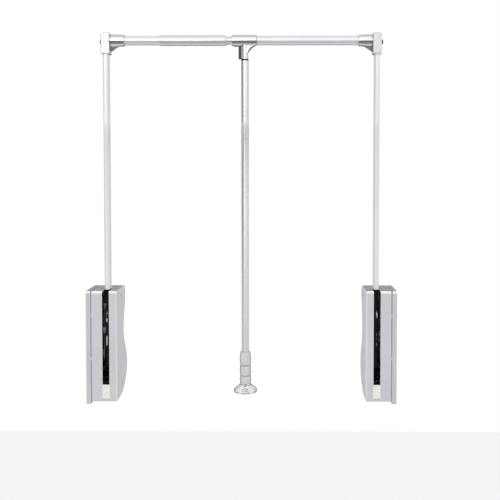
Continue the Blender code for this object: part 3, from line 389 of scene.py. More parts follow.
def plain_steel(name, colour, shade, roughness, metallic=1.0):
    """Plated or blackened steel: mottled, and brighter where its edges are rubbed."""
    shader = Shader(name, Metallic=metallic, Roughness=roughness)
    base = shader.mottled(colour, shade, 70.0, 5.0, 0.6, 0.35, 0.65)
    shader.colour(shader.mixed(shader.outer_edges(STEEL_WEAR), base, srgb(176, 178, 182)))
    shader.uneven_roughness(roughness - 0.08, roughness + 0.1, 300.0)
    shader.bump(shader.noise(700.0, 3.0, 0.6), 0.1, 0.2 * MM)
    return shader.material


def rubbed_lever():
    """Blackened steel, rubbed bare in two places along its outer front edge."""
    shader = Shader("blackened lever")
    outer_edge = MIDDLE_X - LEVER_MIDDLE
    outer = shader.spread(shader.from_middle(), outer_edge, outer_edge + LEVER_BLUR)
    height = shader.axes(shader.place)["Z"]
    rubs = []
    for middle, half in LEVER_RUBS:
        rubs.append(shader.spread(shader.distance(height, middle), half * 0.6, half, 1.0, 0.0))
    patches = shader.spread(shader.noise(130.0, 3.0, 0.6, (1.0, 1.0, 0.5)), 0.42, 0.52)
    bare = shader.maths("MULTIPLY", shader.maths("MAXIMUM", *rubs), patches)
    bare = shader.maths("MULTIPLY", bare, outer)
    base = shader.mottled(srgb(28, 29, 32), srgb(20, 21, 24), 70.0, 5.0, 0.6, 0.35, 0.65)
    shader.colour(shader.mixed(bare, base, srgb(240, 241, 243)))
    shader.metallic(shader.spread(bare, 0.0, 1.0, 0.6, 1.0))
    shader.roughness(shader.spread(bare, 0.0, 1.0, 0.5, 0.3))
    shader.bump(shader.noise(700.0, 3.0, 0.6), 0.1, 0.2 * MM)
    return shader.material


def worn_paint(name, colour, shade):
    """Glossy paint, scratched and chipped to bright metal in places."""
    shader = Shader(name, Roughness=0.28, IOR=1.5)
    chips = shader.spread(shader.noise(55.0, 5.0, 0.6, (1.0, 1.0, 0.5)), 0.56, 0.6)
    bare = shader.maths("MAXIMUM", chips, shader.outer_edges(STEEL_WEAR))
    paint = shader.mottled(colour, shade, 60.0, 4.0)
    shader.colour(shader.mixed(bare, paint, srgb(246, 247, 248)))
    shader.uneven_roughness(0.2, 0.36, 200.0)
    shader.bump(chips, 0.2, 0.1 * MM)
    return shader.material


def white_rubber():
    """White rubber with a dusty, pitted surface."""
    shader = Shader("white rubber", Roughness=0.75, IOR=1.5, Specular_IOR_Level=0.3)
    dusty = shader.mottled(srgb(249, 249, 245), srgb(233, 233, 227), 160.0, 5.0, 0.65, 0.35, 0.68)
    shader.colour(dusty)
    shader.uneven_roughness(0.62, 0.85, 420.0)
    shader.bump(shader.noise(900.0, 4.0, 0.65), 0.3, 0.3 * MM)
    return shader.material


def clear_plastic(name, colour, shade, edge, transmission, roughness, ripple, grooves=()):
    """Clear or misty plastic with a slight flow in it, a painted dark rim, and darker in its two grooves
    if it has them.
    """
    shader = Shader(name, Roughness=roughness, IOR=1.49, Transmission_Weight=transmission)
    flow = shader.mottled(colour, shade, 60.0)
    # Painted shade: a dark rim where the surface turns away from view.
    rim = shader.node("ShaderNodeLayerWeight")
    rim.inputs["Blend"].default_value = 0.5
    flow = shader.mixed(shader.spread(rim.outputs["Facing"], 0.25, 0.8), flow, edge)
    if grooves:
        # Darker near its two grooves.
        height = shader.axes(shader.place)["Z"]
        nearest = shader.maths("MINIMUM", *[shader.distance(height, z) for z, depth in grooves])
        flow = shader.mixed(shader.spread(nearest, *GROOVE_DARKENING), srgb(160, 158, 168), flow)
    shader.colour(flow)
    shader.uneven_roughness(roughness * 0.8, roughness * 1.2, 160.0, 2.0)
    shader.bump(shader.noise(220.0, 2.0), ripple, 0.5 * MM)
    return shader.material


FINISH = {
    "housing": housing_plastic("housing plastic", srgb(213, 213, 218), srgb(207, 207, 213)),
    "plate": housing_plastic("plate plastic", srgb(206, 206, 210), srgb(200, 200, 206), groove=True),
    "cap": moulded_plastic("cap plastic", srgb(209, 209, 214), srgb(203, 203, 209)),
    "arm": satin_metal(
        "satin aluminium arm",
        srgb(249, 249, 251),
        srgb(242, 242, 245),
        along=Z,
        roughness=0.4,
        metallic=0.4,
    ),
    "rail": satin_metal(
        "satin aluminium rail",
        srgb(250, 248, 252),
        srgb(244, 242, 247),
        along=X,
        roughness=0.3,
        metallic=0.5,
    ),
    "sleeve": satin_metal(
        "satin aluminium sleeve",
        srgb(250, 250, 251),
        srgb(243, 243, 246),
        along=X,
        roughness=0.3,
        metallic=0.7,
    ),
    "pole": satin_metal(
        "satin aluminium pole",
        srgb(250, 250, 252),
        srgb(243, 244, 246),
        along=Z,
        roughness=0.26,
        metallic=0.8,
    ),
    "casting": casting("plated casting", srgb(248, 249, 251), srgb(200, 201, 206)),
    "black": plain_steel("blackened steel", srgb(30, 31, 34), srgb(22, 23, 26), roughness=0.45),
    "screw": plain_steel(
        "bright screw", srgb(252, 252, 253), srgb(242, 243, 245), roughness=0.35, metallic=0.2
    ),
    "lever": rubbed_lever(),
    "bolt": plain_steel("black bolt", srgb(26, 27, 29), srgb(18, 19, 21), roughness=0.45, metallic=0.3),
    "zinc": plain_steel("zinc steel", srgb(190, 192, 194), srgb(172, 174, 178), roughness=0.34),
    "barrel": worn_paint("painted strut", srgb(84, 87, 92), srgb(66, 69, 74)),
    "rubber": white_rubber(),
    "bush": moulded_plastic("bush plastic", srgb(92, 92, 94), srgb(80, 80, 82)),
    "grip": clear_plastic(
        "misty plastic",
        srgb(254, 253, 255),
        srgb(249, 248, 254),
        # edge is the colour of the painted dark rim.
        edge=srgb(138, 136, 145),
        transmission=0.38,
        roughness=0.12,
        ripple=0.02,
        grooves=GRIP_GROOVES,
    ),
    "foot": clear_plastic(
        "clear plastic",
        srgb(255, 255, 255),
        srgb(248, 249, 250),
        # edge is the colour of the painted dark rim.
        edge=srgb(110, 111, 114),
        transmission=0.88,
        roughness=0.12,
        ripple=0.4,
    ),
}


def add_piece(node, mesh, finish):
    """Puts a finished mesh in the scene in place of a node, on the same body and with its slot."""
    piece = bpy.data.objects.new(node + "_piece", mesh)
    pieces.objects.link(piece)
    mesh.materials.clear()
    mesh.materials.append(FINISH[finish])
    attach(piece, NODES[node]["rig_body"])
    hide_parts(node)


def applied(mesh, kind, **settings):
    """The mesh after one modifier."""
    holder = bpy.data.objects.new("holder", mesh)
    scene.collection.objects.link(holder)
    modifier = holder.modifiers.new(kind, kind)
    for key, value in settings.items():
        setattr(modifier, key, value)
    graph = bpy.context.evaluated_depsgraph_get()
    result = bpy.data.meshes.new_from_object(
        holder.evaluated_get(graph), preserve_all_data_layers=True, depsgraph=graph
    )
    bpy.data.objects.remove(holder)
    return result


def combined(mesh, operation, *others):
    """The mesh with others joined to it, or cut out of it."""
    for other in others:
        tool = bpy.data.objects.new("tool", other)
        scene.collection.objects.link(tool)
        mesh = applied(mesh, "BOOLEAN", object=tool, operation=operation, solver="EXACT")
        bpy.data.objects.remove(tool)
    return mesh


def smooth(mesh, angle=32.0):
    """The mesh, shaded smooth up to an angle in degrees."""
    mesh.shade_smooth()
    mesh.set_sharp_from_angle(angle=math.radians(angle))
    return mesh


def whole_faces(source):
    """A copy of a mesh with its corners joined and its flat faces whole again."""
    work = bmesh.new()
    work.from_mesh(source)
    bmesh.ops.remove_doubles(work, verts=work.verts, dist=0.001 * MM)
    bmesh.ops.dissolve_limit(work, angle_limit=math.radians(0.4), verts=work.verts, edges=work.edges)
    return finished(work)


def finished(work):
    """A mesh from a bmesh, with its faces turned outwards."""
    bmesh.ops.remove_doubles(work, verts=work.verts, dist=0.001 * MM)
    bmesh.ops.recalc_face_normals(work, faces=work.faces)
    if work.calc_volume(signed=True) < 0:
        bmesh.ops.reverse_faces(work, faces=work.faces)
    mesh = bpy.data.meshes.new("piece")
    work.to_mesh(mesh)
    work.free()
    return mesh


def flats_kept(mesh):
    """The smooth-shaded mesh with its large flat faces shaded flat."""
    return applied(smooth(mesh), "WEIGHTED_NORMAL", keep_sharp=True)


def rounded(mesh, width, segments=2, angle=40.0):
    """The mesh with its edges rounded off over width, where they turn by more than an angle in degrees."""
    bevelled = applied(
        mesh,
        "BEVEL",
        width=width,
        segments=segments,
        limit_method="ANGLE",
        angle_limit=math.radians(angle),
        miter_outer="MITER_ARC",
    )
    return flats_kept(bevelled)


def mirrored(mesh):
    """A copy of a left-hand mesh for the right-hand side."""
    work = bmesh.new()
    work.from_mesh(mesh)
    for vert in work.verts:
        vert.co.x = 2.0 * MIDDLE_X - vert.co.x
    bmesh.ops.reverse_faces(work, faces=work.faces)
    mesh = finished(work)
    if "custom_normal" in mesh.attributes:
        mesh.attributes.remove(mesh.attributes["custom_normal"])
    return flats_kept(mesh)


def dress(node, finish, edge=EDGE, segments=2):
    """A node's own shape with rounded edges."""
    add_piece(node, rounded(whole_faces(NODES[node].data), edge, segments), finish)


def turned(profile, axis, centre, closed=False, steps=72):
    """A turned mesh from (along, radius) points, about a line through centre along axis X or Z."""
    work = bmesh.new()
    rings = []
    for along, radius in profile:
        ring = []
        for i in range(steps):
            turn = 2.0 * math.pi * i / steps
            place = Vector((along, radius * math.cos(turn), radius * math.sin(turn)))
            if axis == Z:
                place = Vector((place.y, place.z, place.x))
            ring.append(work.verts.new(place + Vector(centre)))
        rings.append(ring)
    pairs = list(zip(rings, rings[1:]))
    if closed:
        pairs.append((rings[-1], rings[0]))
    for first, second in pairs:
        for i in range(steps):
            j = (i + 1) % steps
            work.faces.new((first[i], first[j], second[j], second[i]))
    if not closed:
        work.faces.new(rings[0])
        work.faces.new(list(reversed(rings[-1])))
    return smooth(finished(work), 28.0)


def bar(start, end, radius, axis, centre, steps):
    """A plain round bar from start to end along an axis."""
    profile = [(start, 0.0), (start, radius), (end, radius), (end, 0.0)]
    return turned(profile, axis, centre, steps=steps)


def eased_edge(end, radius, edge, inwards):
    """Profile points of a round edge, from the end face to the side. inwards is 1 or -1."""
    return [
        (end, radius - edge),
        (end + inwards * edge * 0.3, radius - edge * 0.3),
        (end + inwards * edge, radius),
    ]


def prism(outline, low, high, axis):
    """An outline pulled from low to high along an axis. Its points run in the other two axes, in order."""
    work = bmesh.new()
    ends = []
    for along in (low, high):
        places = []
        for first, second in outline:
            place = [first, second]
            place.insert(axis, along)
            places.append(work.verts.new(place))
        ends.append(places)
    for i, vert in enumerate(ends[0]):
        j = (i + 1) % len(outline)
        work.faces.new((vert, ends[0][j], ends[1][j], ends[1][i]))
    work.faces.new(ends[0])
    work.faces.new(list(reversed(ends[1])))
    return finished(work)


def arc(centre, radius, start, end, steps):
    """Points along an arc, its angles in degrees."""
    points = []
    for i in range(steps + 1):
        turn = math.radians(start + (end - start) * i / steps)
        points.append((centre[0] + radius * math.cos(turn), centre[1] + radius * math.sin(turn)))
    return points


def rounded_outline(low, high, radius, steps=10):
    """A rectangle with round corners."""
    left, bottom = low[0] + radius, low[1] + radius
    right, top = high[0] - radius, high[1] - radius
    points = arc((right, bottom), radius, -90, 0, steps)
    points += arc((right, top), radius, 0, 90, steps)
    points += arc((left, top), radius, 90, 180, steps)
    return points + arc((left, bottom), radius, 180, 270, steps)


def hollow_curve(start, end, power, steps=16):
    """A curve from start down to end that falls slowly at first, then faster."""
    points = []
    for i in range(steps + 1):
        share = math.sin(math.pi / 2 * i / steps)
        fall = 1.0 - (1.0 - share**power) ** (1.0 / power)
        points.append((start[0] + (end[0] - start[0]) * share, start[1] + (end[1] - start[1]) * fall))
    return points


def tapered_web(curve, corner, rim_width, rim, inside, root):
    """A cast web in X and Z about Y = 0, with a rim along its curve and a root at its corner.

    rim, inside and root are half thicknesses: at the curve, rim_width inside it, and at the corner.
    """
    work = bmesh.new()
    shifted = []
    for x, z in curve:
        towards = Vector((corner[0] - x, corner[1] - z)).normalized() * rim_width
        shifted.append((x + towards.x, z + towards.y))

    def pair(x, z, half):
        return work.verts.new((x, -half, z)), work.verts.new((x, half, z))

    outer = [pair(x, z, rim) for x, z in curve]
    inner = [pair(x, z, inside) for x, z in shifted]
    apex = pair(*corner, root)
    for i in range(len(curve) - 1):
        work.faces.new((*outer[i], *reversed(outer[i + 1])))
        for side in (0, 1):
            work.faces.new((outer[i][side], outer[i + 1][side], inner[i + 1][side], inner[i][side]))
            work.faces.new((inner[i][side], inner[i + 1][side], apex[side]))
    for i in (0, -1):
        work.faces.new((*outer[i], *reversed(inner[i])))
        work.faces.new((*inner[i], *reversed(apex)))
    return finished(work)


def tube(node, finish, axis, wall):
    """A finer tube in a node's place, with chamfered ends."""
    low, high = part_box(node)
    centre = (low + high) / 2
    centre[axis] = 0.0
    outer = (high - low)[(axis + 1) % 3] / 2
    inner = outer - wall
    start, end = low[axis], high[axis]
    profile = [
        (start, inner),
        (start, outer - TUBE_EDGE),
        (start + TUBE_EDGE, outer),
        (end - TUBE_EDGE, outer),
        (end, outer - TUBE_EDGE),
        (end, inner),
    ]
    add_piece(node, turned(profile, axis, centre, closed=True), finish)


def make_housings():
    """The two moulded covers with their wall plates, buffers and screw caps."""
    for side in SIDES:
        dress(side + "_wall_plate", "plate", PLATE_EDGE, 3)
        dress(side + "_housing_shell", "housing", HOUSING_EDGE)
        dress(side + "_housing_cover", "housing", HOUSING_EDGE)
        dress(side + "_buffer", "rubber", BUFFER_EDGE, 3)
        for part in ("cover_screw_upper", "cover_screw_lower"):
            dress(f"{side}_{part}", "cap")


ZINC_PARTS = ("pivot_bolt", "pivot_nut", "strut_anchor_pin", "lower_standoff", "strut_rod")
BLACK_PARTS = ("mount_frame", "frame_cheek", "pivot_spacer", "strut_rod_eye", "crank_pin")


def make_mechanism():
    """What each housing holds, and the plug in the rail's end."""
    for side in SIDES:
        for part in ZINC_PARTS:
            dress(f"{side}_{part}", "zinc")
        dress(side + "_strut_barrel", "barrel")
        for part in BLACK_PARTS:
            dress(f"{side}_{part}", "black")
        dress(side + "_arm_lever", "lever", LEVER_EDGE)
        dress(side + "_pivot_bush", "bush")
        dress(side + "_rail_plug", "bush")


# Arm tubes
ARM_CORNER = 4 * MM
ARM_WALL = 1.2 * MM
ARM_END_RISE = 9 * MM


def make_arm_tube(side):
    """A flat-oval tube with its round corners, cut off above the slot so that the slot stays dark."""
    node = side + "_arm_tube"
    low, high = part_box(node)
    outline = rounded_outline(low, high, ARM_CORNER)
    tube_low = (low.x + ARM_WALL, low.y + ARM_WALL)
    tube_high = (high.x - ARM_WALL, high.y - ARM_WALL)
    inside = rounded_outline(tube_low, tube_high, ARM_CORNER - ARM_WALL)
    solid = prism(outline, low.z + ARM_END_RISE, high.z, Z)
    bore = prism(inside, low.z - ARM_CORNER, high.z + ARM_CORNER, Z)
    add_piece(node, rounded(combined(solid, "DIFFERENCE", bore), ARM_EDGE), "arm")


# Corner bolts
BOLT_DROP = 3.5 * MM
BOLT_EDGE = 0.8 * MM
BOLT_HEAD_SCALE = 1.2
BOLT_HEAD_EXTRA = 1.0 * MM
BOLT_HOLE_RADIUS = 2.5 * MM
BOLT_SOCKET = 1.9 * MM
BOLT_SOCKET_DEPTH = 1.6 * MM

# Corner fittings, made left-handed and mirrored. BLOCK_ROUND is at three corners of the block seen
# from the front, BLOCK_OUTER_ROUND at the outer top one, and BLOCK_FACE_ROUND along its faces.
BLOCK_ROUND = 2.5 * MM
BLOCK_OUTER_ROUND = 6 * MM
BLOCK_FACE_ROUND = 1.5 * MM
BLOCK_ARC_STEPS = 6
BLOCK_TOP_DROP = 2.5 * MM
SOCKET_DEPTH = 22 * MM
COLLAR_MOUTH = 24.0 * MM
COLLAR_EDGE = 1.0 * MM
COLLAR_WALL = 2.2 * MM
COLLAR_TAPER = 1.2 * MM
COLLAR_BORE = RAIL_RADIUS + FIT
COLLAR_RADIUS = COLLAR_BORE + COLLAR_WALL
WEB_RIM = 1.1 * MM
WEB_RIM_HALF = 1.8 * MM
WEB_ROOT_HALF = 10.5 * MM
WEB_ROOT_DROP = 8.0 * MM
WEB_ROOT_INSET = 3 * MM
WEB_INSET = 9.0 * MM
WEB_FOOT_RISE = 1.0 * MM
WEB_POWER = 1.25


def fitting_block(low, high):
    """The rounded block over the arm's top."""
    left, right = low.x + BLOCK_ROUND, BLOCK_END - BLOCK_ROUND
    bottom, top = low.z + BLOCK_ROUND, high.z - BLOCK_ROUND
    outer_centre = (low.x + BLOCK_OUTER_ROUND, high.z - BLOCK_OUTER_ROUND)
    outline = arc((right, bottom), BLOCK_ROUND, -90, 0, BLOCK_ARC_STEPS)
    outline += arc((right, top), BLOCK_ROUND, 0, 90, BLOCK_ARC_STEPS)
    outline += arc(outer_centre, BLOCK_OUTER_ROUND, 90, 180, 2 * BLOCK_ARC_STEPS)
    outline += arc((left, bottom), BLOCK_ROUND, 180, 270, BLOCK_ARC_STEPS)
    return rounded(prism(outline, low.y, high.y, Y), BLOCK_FACE_ROUND, segments=4, angle=60)


def fitting_collar(low, high):
    """The collar round the rail's end, slightly tapered, with its seat behind the rail."""
    seat = high.x - COLLAR_MOUTH
    block_middle = low.x + BLOCK_WIDTH / 2
    profile = [
        (seat, 0.0),
        (seat, COLLAR_BORE),
        (high.x - COLLAR_EDGE / 2, COLLAR_BORE),
        (high.x, COLLAR_BORE + COLLAR_EDGE / 2),
        *eased_edge(high.x, COLLAR_RADIUS, COLLAR_EDGE, -1),
        (block_middle, COLLAR_RADIUS + COLLAR_TAPER),
        (block_middle, 0.0),
    ]
    return turned(profile, X, RAIL_LINE, steps=96)


def fitting_web(low, high):
    """The curved web from the collar's mouth down to the block's foot."""
    start = (high.x - WEB_INSET, RAIL_Z - COLLAR_RADIUS)
    foot = (BLOCK_END - BLOCK_FACE_ROUND, low.z + WEB_FOOT_RISE)
    corner = (BLOCK_END - WEB_ROOT_INSET, RAIL_Z - WEB_ROOT_DROP)
    curve = hollow_curve(start, foot, WEB_POWER)
    return tapered_web(curve, corner, WEB_RIM, WEB_RIM_HALF, WEB_RIM_HALF, WEB_ROOT_HALF)


def arm_socket(bottom):
    """The room for the arm's top in the block."""
    low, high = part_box("left_arm_tube")
    outline = rounded_outline((low.x - FIT, low.y - FIT), (high.x + FIT, high.y + FIT), ARM_CORNER)
    return prism(outline, bottom - SOCKET_DEPTH, bottom + SOCKET_DEPTH, Z)


def corner_fitting():
    """The left casting: a block over the arm's top, a collar round the rail's end, and a web below it."""
    low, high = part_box("left_corner_fitting")
    high.z -= BLOCK_TOP_DROP
    whole = combined(fitting_block(low, high), "UNION", fitting_collar(low, high), fitting_web(low, high))
    hole_end = high.x - COLLAR_MOUTH + BLOCK_WIDTH / 4
    hole_line = (0.0, 0.0, RAIL_Z - BOLT_DROP)
    hole = bar(low.x - BLOCK_WIDTH, hole_end, BOLT_HOLE_RADIUS, X, hole_line, 24)
    whole = combined(whole, "DIFFERENCE", arm_socket(low.z), hole)
    return rounded(whole_faces(whole), CAST_EDGE, angle=45)


def corner_bolt():
    """The left bolt: a round head with a six-sided socket, and its shank."""
    low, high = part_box("left_corner_bolt")
    radius = (high.z - low.z) / 2 * BOLT_HEAD_SCALE
    centre_z = (high.z + low.z) / 2
    low.x -= BOLT_HEAD_EXTRA
    head_start = BLOCK_START - FIT
    shank = BOLT_HOLE_RADIUS - FIT
    profile = [
        (high.x, 0.0),
        (high.x, shank),
        (head_start, shank),
        (head_start, radius),
        *reversed(eased_edge(low.x, radius, BOLT_EDGE, 1)),
        (low.x, 0.0),
    ]
    body = turned(profile, X, (0.0, 0.0, centre_z), steps=48)
    hexagon = arc((0.0, centre_z), BOLT_SOCKET, 0, 300, 5)
    socket = prism(hexagon, low.x - BOLT_SOCKET_DEPTH, low.x + BOLT_SOCKET_DEPTH, X)
    return smooth(whole_faces(combined(body, "DIFFERENCE", socket)))


def make_arms():
    """The corner fittings and bolts, then the arm tubes."""
    for part, shape, finish in (
        ("corner_fitting", corner_fitting(), "casting"),
        ("corner_bolt", corner_bolt(), "bolt"),
    ):
        add_piece("left_" + part, shape, finish)
        add_piece("right_" + part, mirrored(shape), finish)
    for side in SIDES:
        make_arm_tube(side)


# Rail. NECK_LENGTH is the bare neck between the sleeve's taper and the tee.
RAIL_WALL = 1.5 * MM
SLEEVE_WALL = 1 * MM
SLEEVE_LIP = 1 * MM
SLEEVE_TAPER = 9 * MM
TAPER_STEPS = 10
NECK_LENGTH = 8.5 * MM


def make_sleeve():
    """The sleeve over the left tube, drawn down to the neck that carries the tee."""
    low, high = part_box("rail_sleeve")
    radius = (high.z - low.z) / 2
    bore = radius - SLEEVE_WALL
    neck = bore - FIT - RAIL_WALL - FIT
    neck_bore = neck - RAIL_WALL
    taper_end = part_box("handle_tee")[0].x - NECK_LENGTH
    taper_start = taper_end - SLEEVE_TAPER
    taper = []
    for i in range(TAPER_STEPS + 1):
        share = (1 + math.cos(math.pi * i / TAPER_STEPS)) / 2
        taper.append((taper_start + SLEEVE_TAPER * i / TAPER_STEPS, neck + (radius - neck) * share))
    profile = [
        (high.x, neck_bore),
        (high.x, neck - FIT),
        (high.x - FIT, neck),
        *reversed(taper),
        (low.x + SLEEVE_LIP, radius),
        (low.x + SLEEVE_LIP * 0.3, radius - SLEEVE_LIP * 0.2),
        (low.x, radius - SLEEVE_LIP * 0.6),
        (low.x, bore),
        (taper_start - RAIL_WALL, bore),
        (taper_end - RAIL_WALL, neck_bore),
    ]
    add_piece("rail_sleeve", turned(profile, X, RAIL_LINE, closed=True, steps=96), "sleeve")


def make_rail():
    """The rail tubes and the sleeve that joins them."""
    for side in SIDES:
        tube(side + "_rail_tube", "rail", X, RAIL_WALL)
    make_sleeve()


# Tee. Drops are measured down from the rail's line, the web's rise up from the stem's end, and
# the rib's and ledge's lengths leftwards from the pole's line.
TEE_RADIUS = 13 * MM
TEE_EDGE = 1 * MM
TEE_BORE = 9.5 * MM
STEM_RADIUS = 7.8 * MM
STEM_END = RAIL_Z - 43 * MM
STEM_GROOVE = 0.9 * MM
SPIGOT_RADIUS = 7.25 * MM
RIB_ROOT_HALF = 5.6 * MM
RIB_ROOT = 7.4 * MM
RIB_INNER_HALF = 3.0 * MM
RIB_EDGE_HALF = 0.8 * MM
RIB_OUT = 14.8 * MM
RIB_DROP = 10 * MM
LEDGE_START = 25.5 * MM
LEDGE_END = 13.0 * MM
LEDGE_RADIUS = 2.6 * MM
TEE_WEB_RISE = 11 * MM
TEE_WEB_DROP = 12.4 * MM
TEE_WEB_POWER = 1.4
TEE_WEB_RIM = 3.4 * MM
TEE_WEB_RIM_HALF = 0.4 * MM
TEE_WEB_HALF = 6.6 * MM


def tee_barrel(start, end):
    """The barrel round the rail's neck, before it is bored."""
    left = eased_edge(start, TEE_RADIUS, TEE_EDGE, 1)
    right = eased_edge(end, TEE_RADIUS, TEE_EDGE, -1)
    return turned([(start, 0.0), *left, *reversed(right), (end, 0.0)], X, RAIL_LINE, steps=96)


def tee_stem(bottom):
    """The stem, with a thinner spigot that the pole goes on."""
    top = RAIL_Z - TEE_RADIUS / 2
    profile = [
        (bottom, 0.0),
        (bottom, SPIGOT_RADIUS),
        (STEM_END, SPIGOT_RADIUS),
        (STEM_END, STEM_RADIUS - FIT),
        (STEM_END + FIT, STEM_RADIUS),
        (top, STEM_RADIUS),
        (top, 0.0),
    ]
    return turned(profile, Z, POLE_LINE, steps=96)


def tee_rib():
    """The rib on the stem's left, thick at the stem and thin at its edge."""
    back = [
        (POLE_X - STEM_RADIUS / 2, RIB_INNER_HALF),
        (POLE_X - RIB_ROOT, RIB_ROOT_HALF),
        (POLE_X - RIB_OUT, RIB_EDGE_HALF),
    ]
    front = [(x, -y) for x, y in reversed(back)]
    return prism(front + back, STEM_END, RAIL_Z - RIB_DROP, Z)


def tee_web(barrel_end):
    """The web on the stem's right. Its curve begins inside the barrel and ends inside the stem."""
    corner = (POLE_X + STEM_RADIUS / 2, RAIL_Z - TEE_BORE - FIT)
    start = (barrel_end - TEE_EDGE, RAIL_Z - TEE_WEB_DROP)
    foot = (POLE_X + STEM_RADIUS - TEE_EDGE, STEM_END + TEE_WEB_RISE)
    curve = [(start[0], corner[1]), *hollow_curve(start, foot, TEE_WEB_POWER), (corner[0], foot[1])]
    return tapered_web(curve, corner, TEE_WEB_RIM, TEE_WEB_RIM_HALF, TEE_WEB_HALF, TEE_WEB_HALF)


def make_tee():
    """The cast tee on the rail's neck: barrel, stem, rib, web and a small ledge under the barrel."""
    low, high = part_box("handle_tee")
    ledge_line = (0.0, 0.0, RAIL_Z - TEE_RADIUS + LEDGE_RADIUS / 4)
    ledge = bar(POLE_X - LEDGE_START, POLE_X - LEDGE_END, LEDGE_RADIUS, X, ledge_line, 32)
    barrel = tee_barrel(low.x, high.x)
    whole = combined(barrel, "UNION", tee_stem(low.z), tee_rib(), tee_web(high.x), ledge)
    bore = bar(low.x - TEE_RADIUS, high.x + TEE_RADIUS, TEE_BORE, X, RAIL_LINE, 64)
    groove_low = (POLE_X - STEM_GROOVE / 2, -STEM_RADIUS - STEM_GROOVE)
    groove_high = (POLE_X + STEM_GROOVE / 2, -STEM_RADIUS + STEM_GROOVE)
    outline = rounded_outline(groove_low, groove_high, STEM_GROOVE / 3, 3)
    whole = combined(whole, "DIFFERENCE", bore, prism(outline, 0.0, RAIL_Z - TEE_RADIUS, Z))
    add_piece("handle_tee", rounded(whole_faces(whole), CAST_EDGE, angle=45), "casting")


# Handle
POLE_WALL = 1.2 * MM
ROUND_STEPS = 8
GRIP_SHOULDER = 5 * MM
GRIP_MOUTH_RADIUS = 10 * MM
GRIP_WAIST_RADIUS = 12.2 * MM
GRIP_SWELL = 1.0 * MM
GRIP_STEPS = 28
GRIP_GROOVE_SIDE = 0.7 * MM
GRIP_GROOVE_HALF = 1.2 * MM
FOOT_RIM = 5 * MM
FOOT_EDGE = 4 * MM
FOOT_NECK_RADIUS = 12.2 * MM
FOOT_FLARE = 1.3
FOOT_STEPS = 24
FOOT_SCREW_RADIUS = 2 * MM
FOOT_SCREW_HEAD = 1.75 * MM


def make_pole_ring():
    """The thin ring between stem and pole, with a round rim."""
    low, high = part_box("pole_ring")
    inner, outer = SPIGOT_RADIUS + FIT, (high.x - low.x) / 2
    middle, half = (low.z + high.z) / 2, (high.z - low.z) / 2
    rim = []
    for i in range(ROUND_STEPS + 1):
        turn = math.pi * i / ROUND_STEPS - math.pi / 2
        rim.append((middle + half * math.sin(turn), outer - half * 0.5 * (1 - math.cos(turn))))
    profile = [(low.z, inner), *rim, (high.z, inner)]
    add_piece("pole_ring", turned(profile, Z, POLE_LINE, closed=True), "black")


def groove_cut(z):
    """How deep the grip's grooves cut in at a height: smooth dips, cut off at each groove's depth."""
    cut = 0.0
    for height, depth in GRIP_GROOVES:
        near = max(0.0, 1.0 - abs(z - height) / GRIP_GROOVE_HALF)
        cut += min(depth, GRIP_GROOVE_SIDE * near * near * (3 - 2 * near))
    return cut


def make_grip(bottom):
    """The grip: a round shoulder, then swells between its grooves."""
    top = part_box("handle_grip")[1].z
    bore = POLE_RADIUS + FIT
    profile = [(top, bore)]
    for i in range(ROUND_STEPS + 1):
        turn = math.pi / 2 * i / ROUND_STEPS
        out = (GRIP_WAIST_RADIUS - GRIP_MOUTH_RADIUS) * math.sin(turn)
        profile.append((top - GRIP_SHOULDER * (1 - math.cos(turn)), GRIP_MOUTH_RADIUS + out))
    stops = [top - GRIP_SHOULDER, *(height for height, depth in GRIP_GROOVES), bottom]
    for start, end in zip(stops, stops[1:]):
        for i in range(1, GRIP_STEPS + 1):
            z = start + (end - start) * i / GRIP_STEPS
            swell = GRIP_SWELL * math.sin(math.pi * i / GRIP_STEPS)
            profile.append((z, GRIP_WAIST_RADIUS + swell - groove_cut(z)))
    profile.append((bottom, bore))
    add_piece("handle_grip", turned(profile, Z, POLE_LINE, closed=True, steps=96), "grip")


def make_foot(neck_z):
    """The flared foot with its spigot and the blind, stepped hole for its screw."""
    low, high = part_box("handle_foot")
    radius = (high.x - low.x) / 2
    rim = low.z + FOOT_RIM
    flare = []
    for i in range(FOOT_STEPS + 1):
        out = math.sin(math.pi / 2 * i / FOOT_STEPS) ** FOOT_FLARE
        z = neck_z + (rim - neck_z) * i / FOOT_STEPS
        flare.append((z, FOOT_NECK_RADIUS + (radius - FOOT_NECK_RADIUS) * out))
    edge = []
    for i in range(1, ROUND_STEPS + 1):
        turn = math.pi / 2 * i / ROUND_STEPS
        edge.append((rim - FOOT_RIM * math.sin(turn), radius - FOOT_EDGE * (1 - math.cos(turn))))
    screw_low, screw_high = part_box("foot_screw")
    head_radius = (screw_high.x - screw_low.x) / 2 + FIT
    head_top = screw_low.z + FOOT_SCREW_HEAD + FIT
    shank_radius, shank_top = FOOT_SCREW_RADIUS + FIT, screw_high.z + FIT
    profile = [
        (high.z, 0.0),
        (high.z, SPIGOT_RADIUS),
        (neck_z, SPIGOT_RADIUS),
        *flare,
        *edge,
        (low.z, head_radius),
        (head_top, head_radius),
        (head_top, shank_radius),
        (shank_top, shank_radius),
        (shank_top, 0.0),
    ]
    add_piece("handle_foot", turned(profile, Z, POLE_LINE, steps=96), "foot")


def make_handle():
    """The tee and what hangs from it. The grip ends just below the pole, and the foot starts under it."""
    make_tee()
    tube("handle_pole", "pole", Z, POLE_WALL)
    make_pole_ring()
    make_grip(pole_low.z - FIT)
    make_foot(pole_low.z - FIT - FIT)
    dress("foot_screw", "screw")


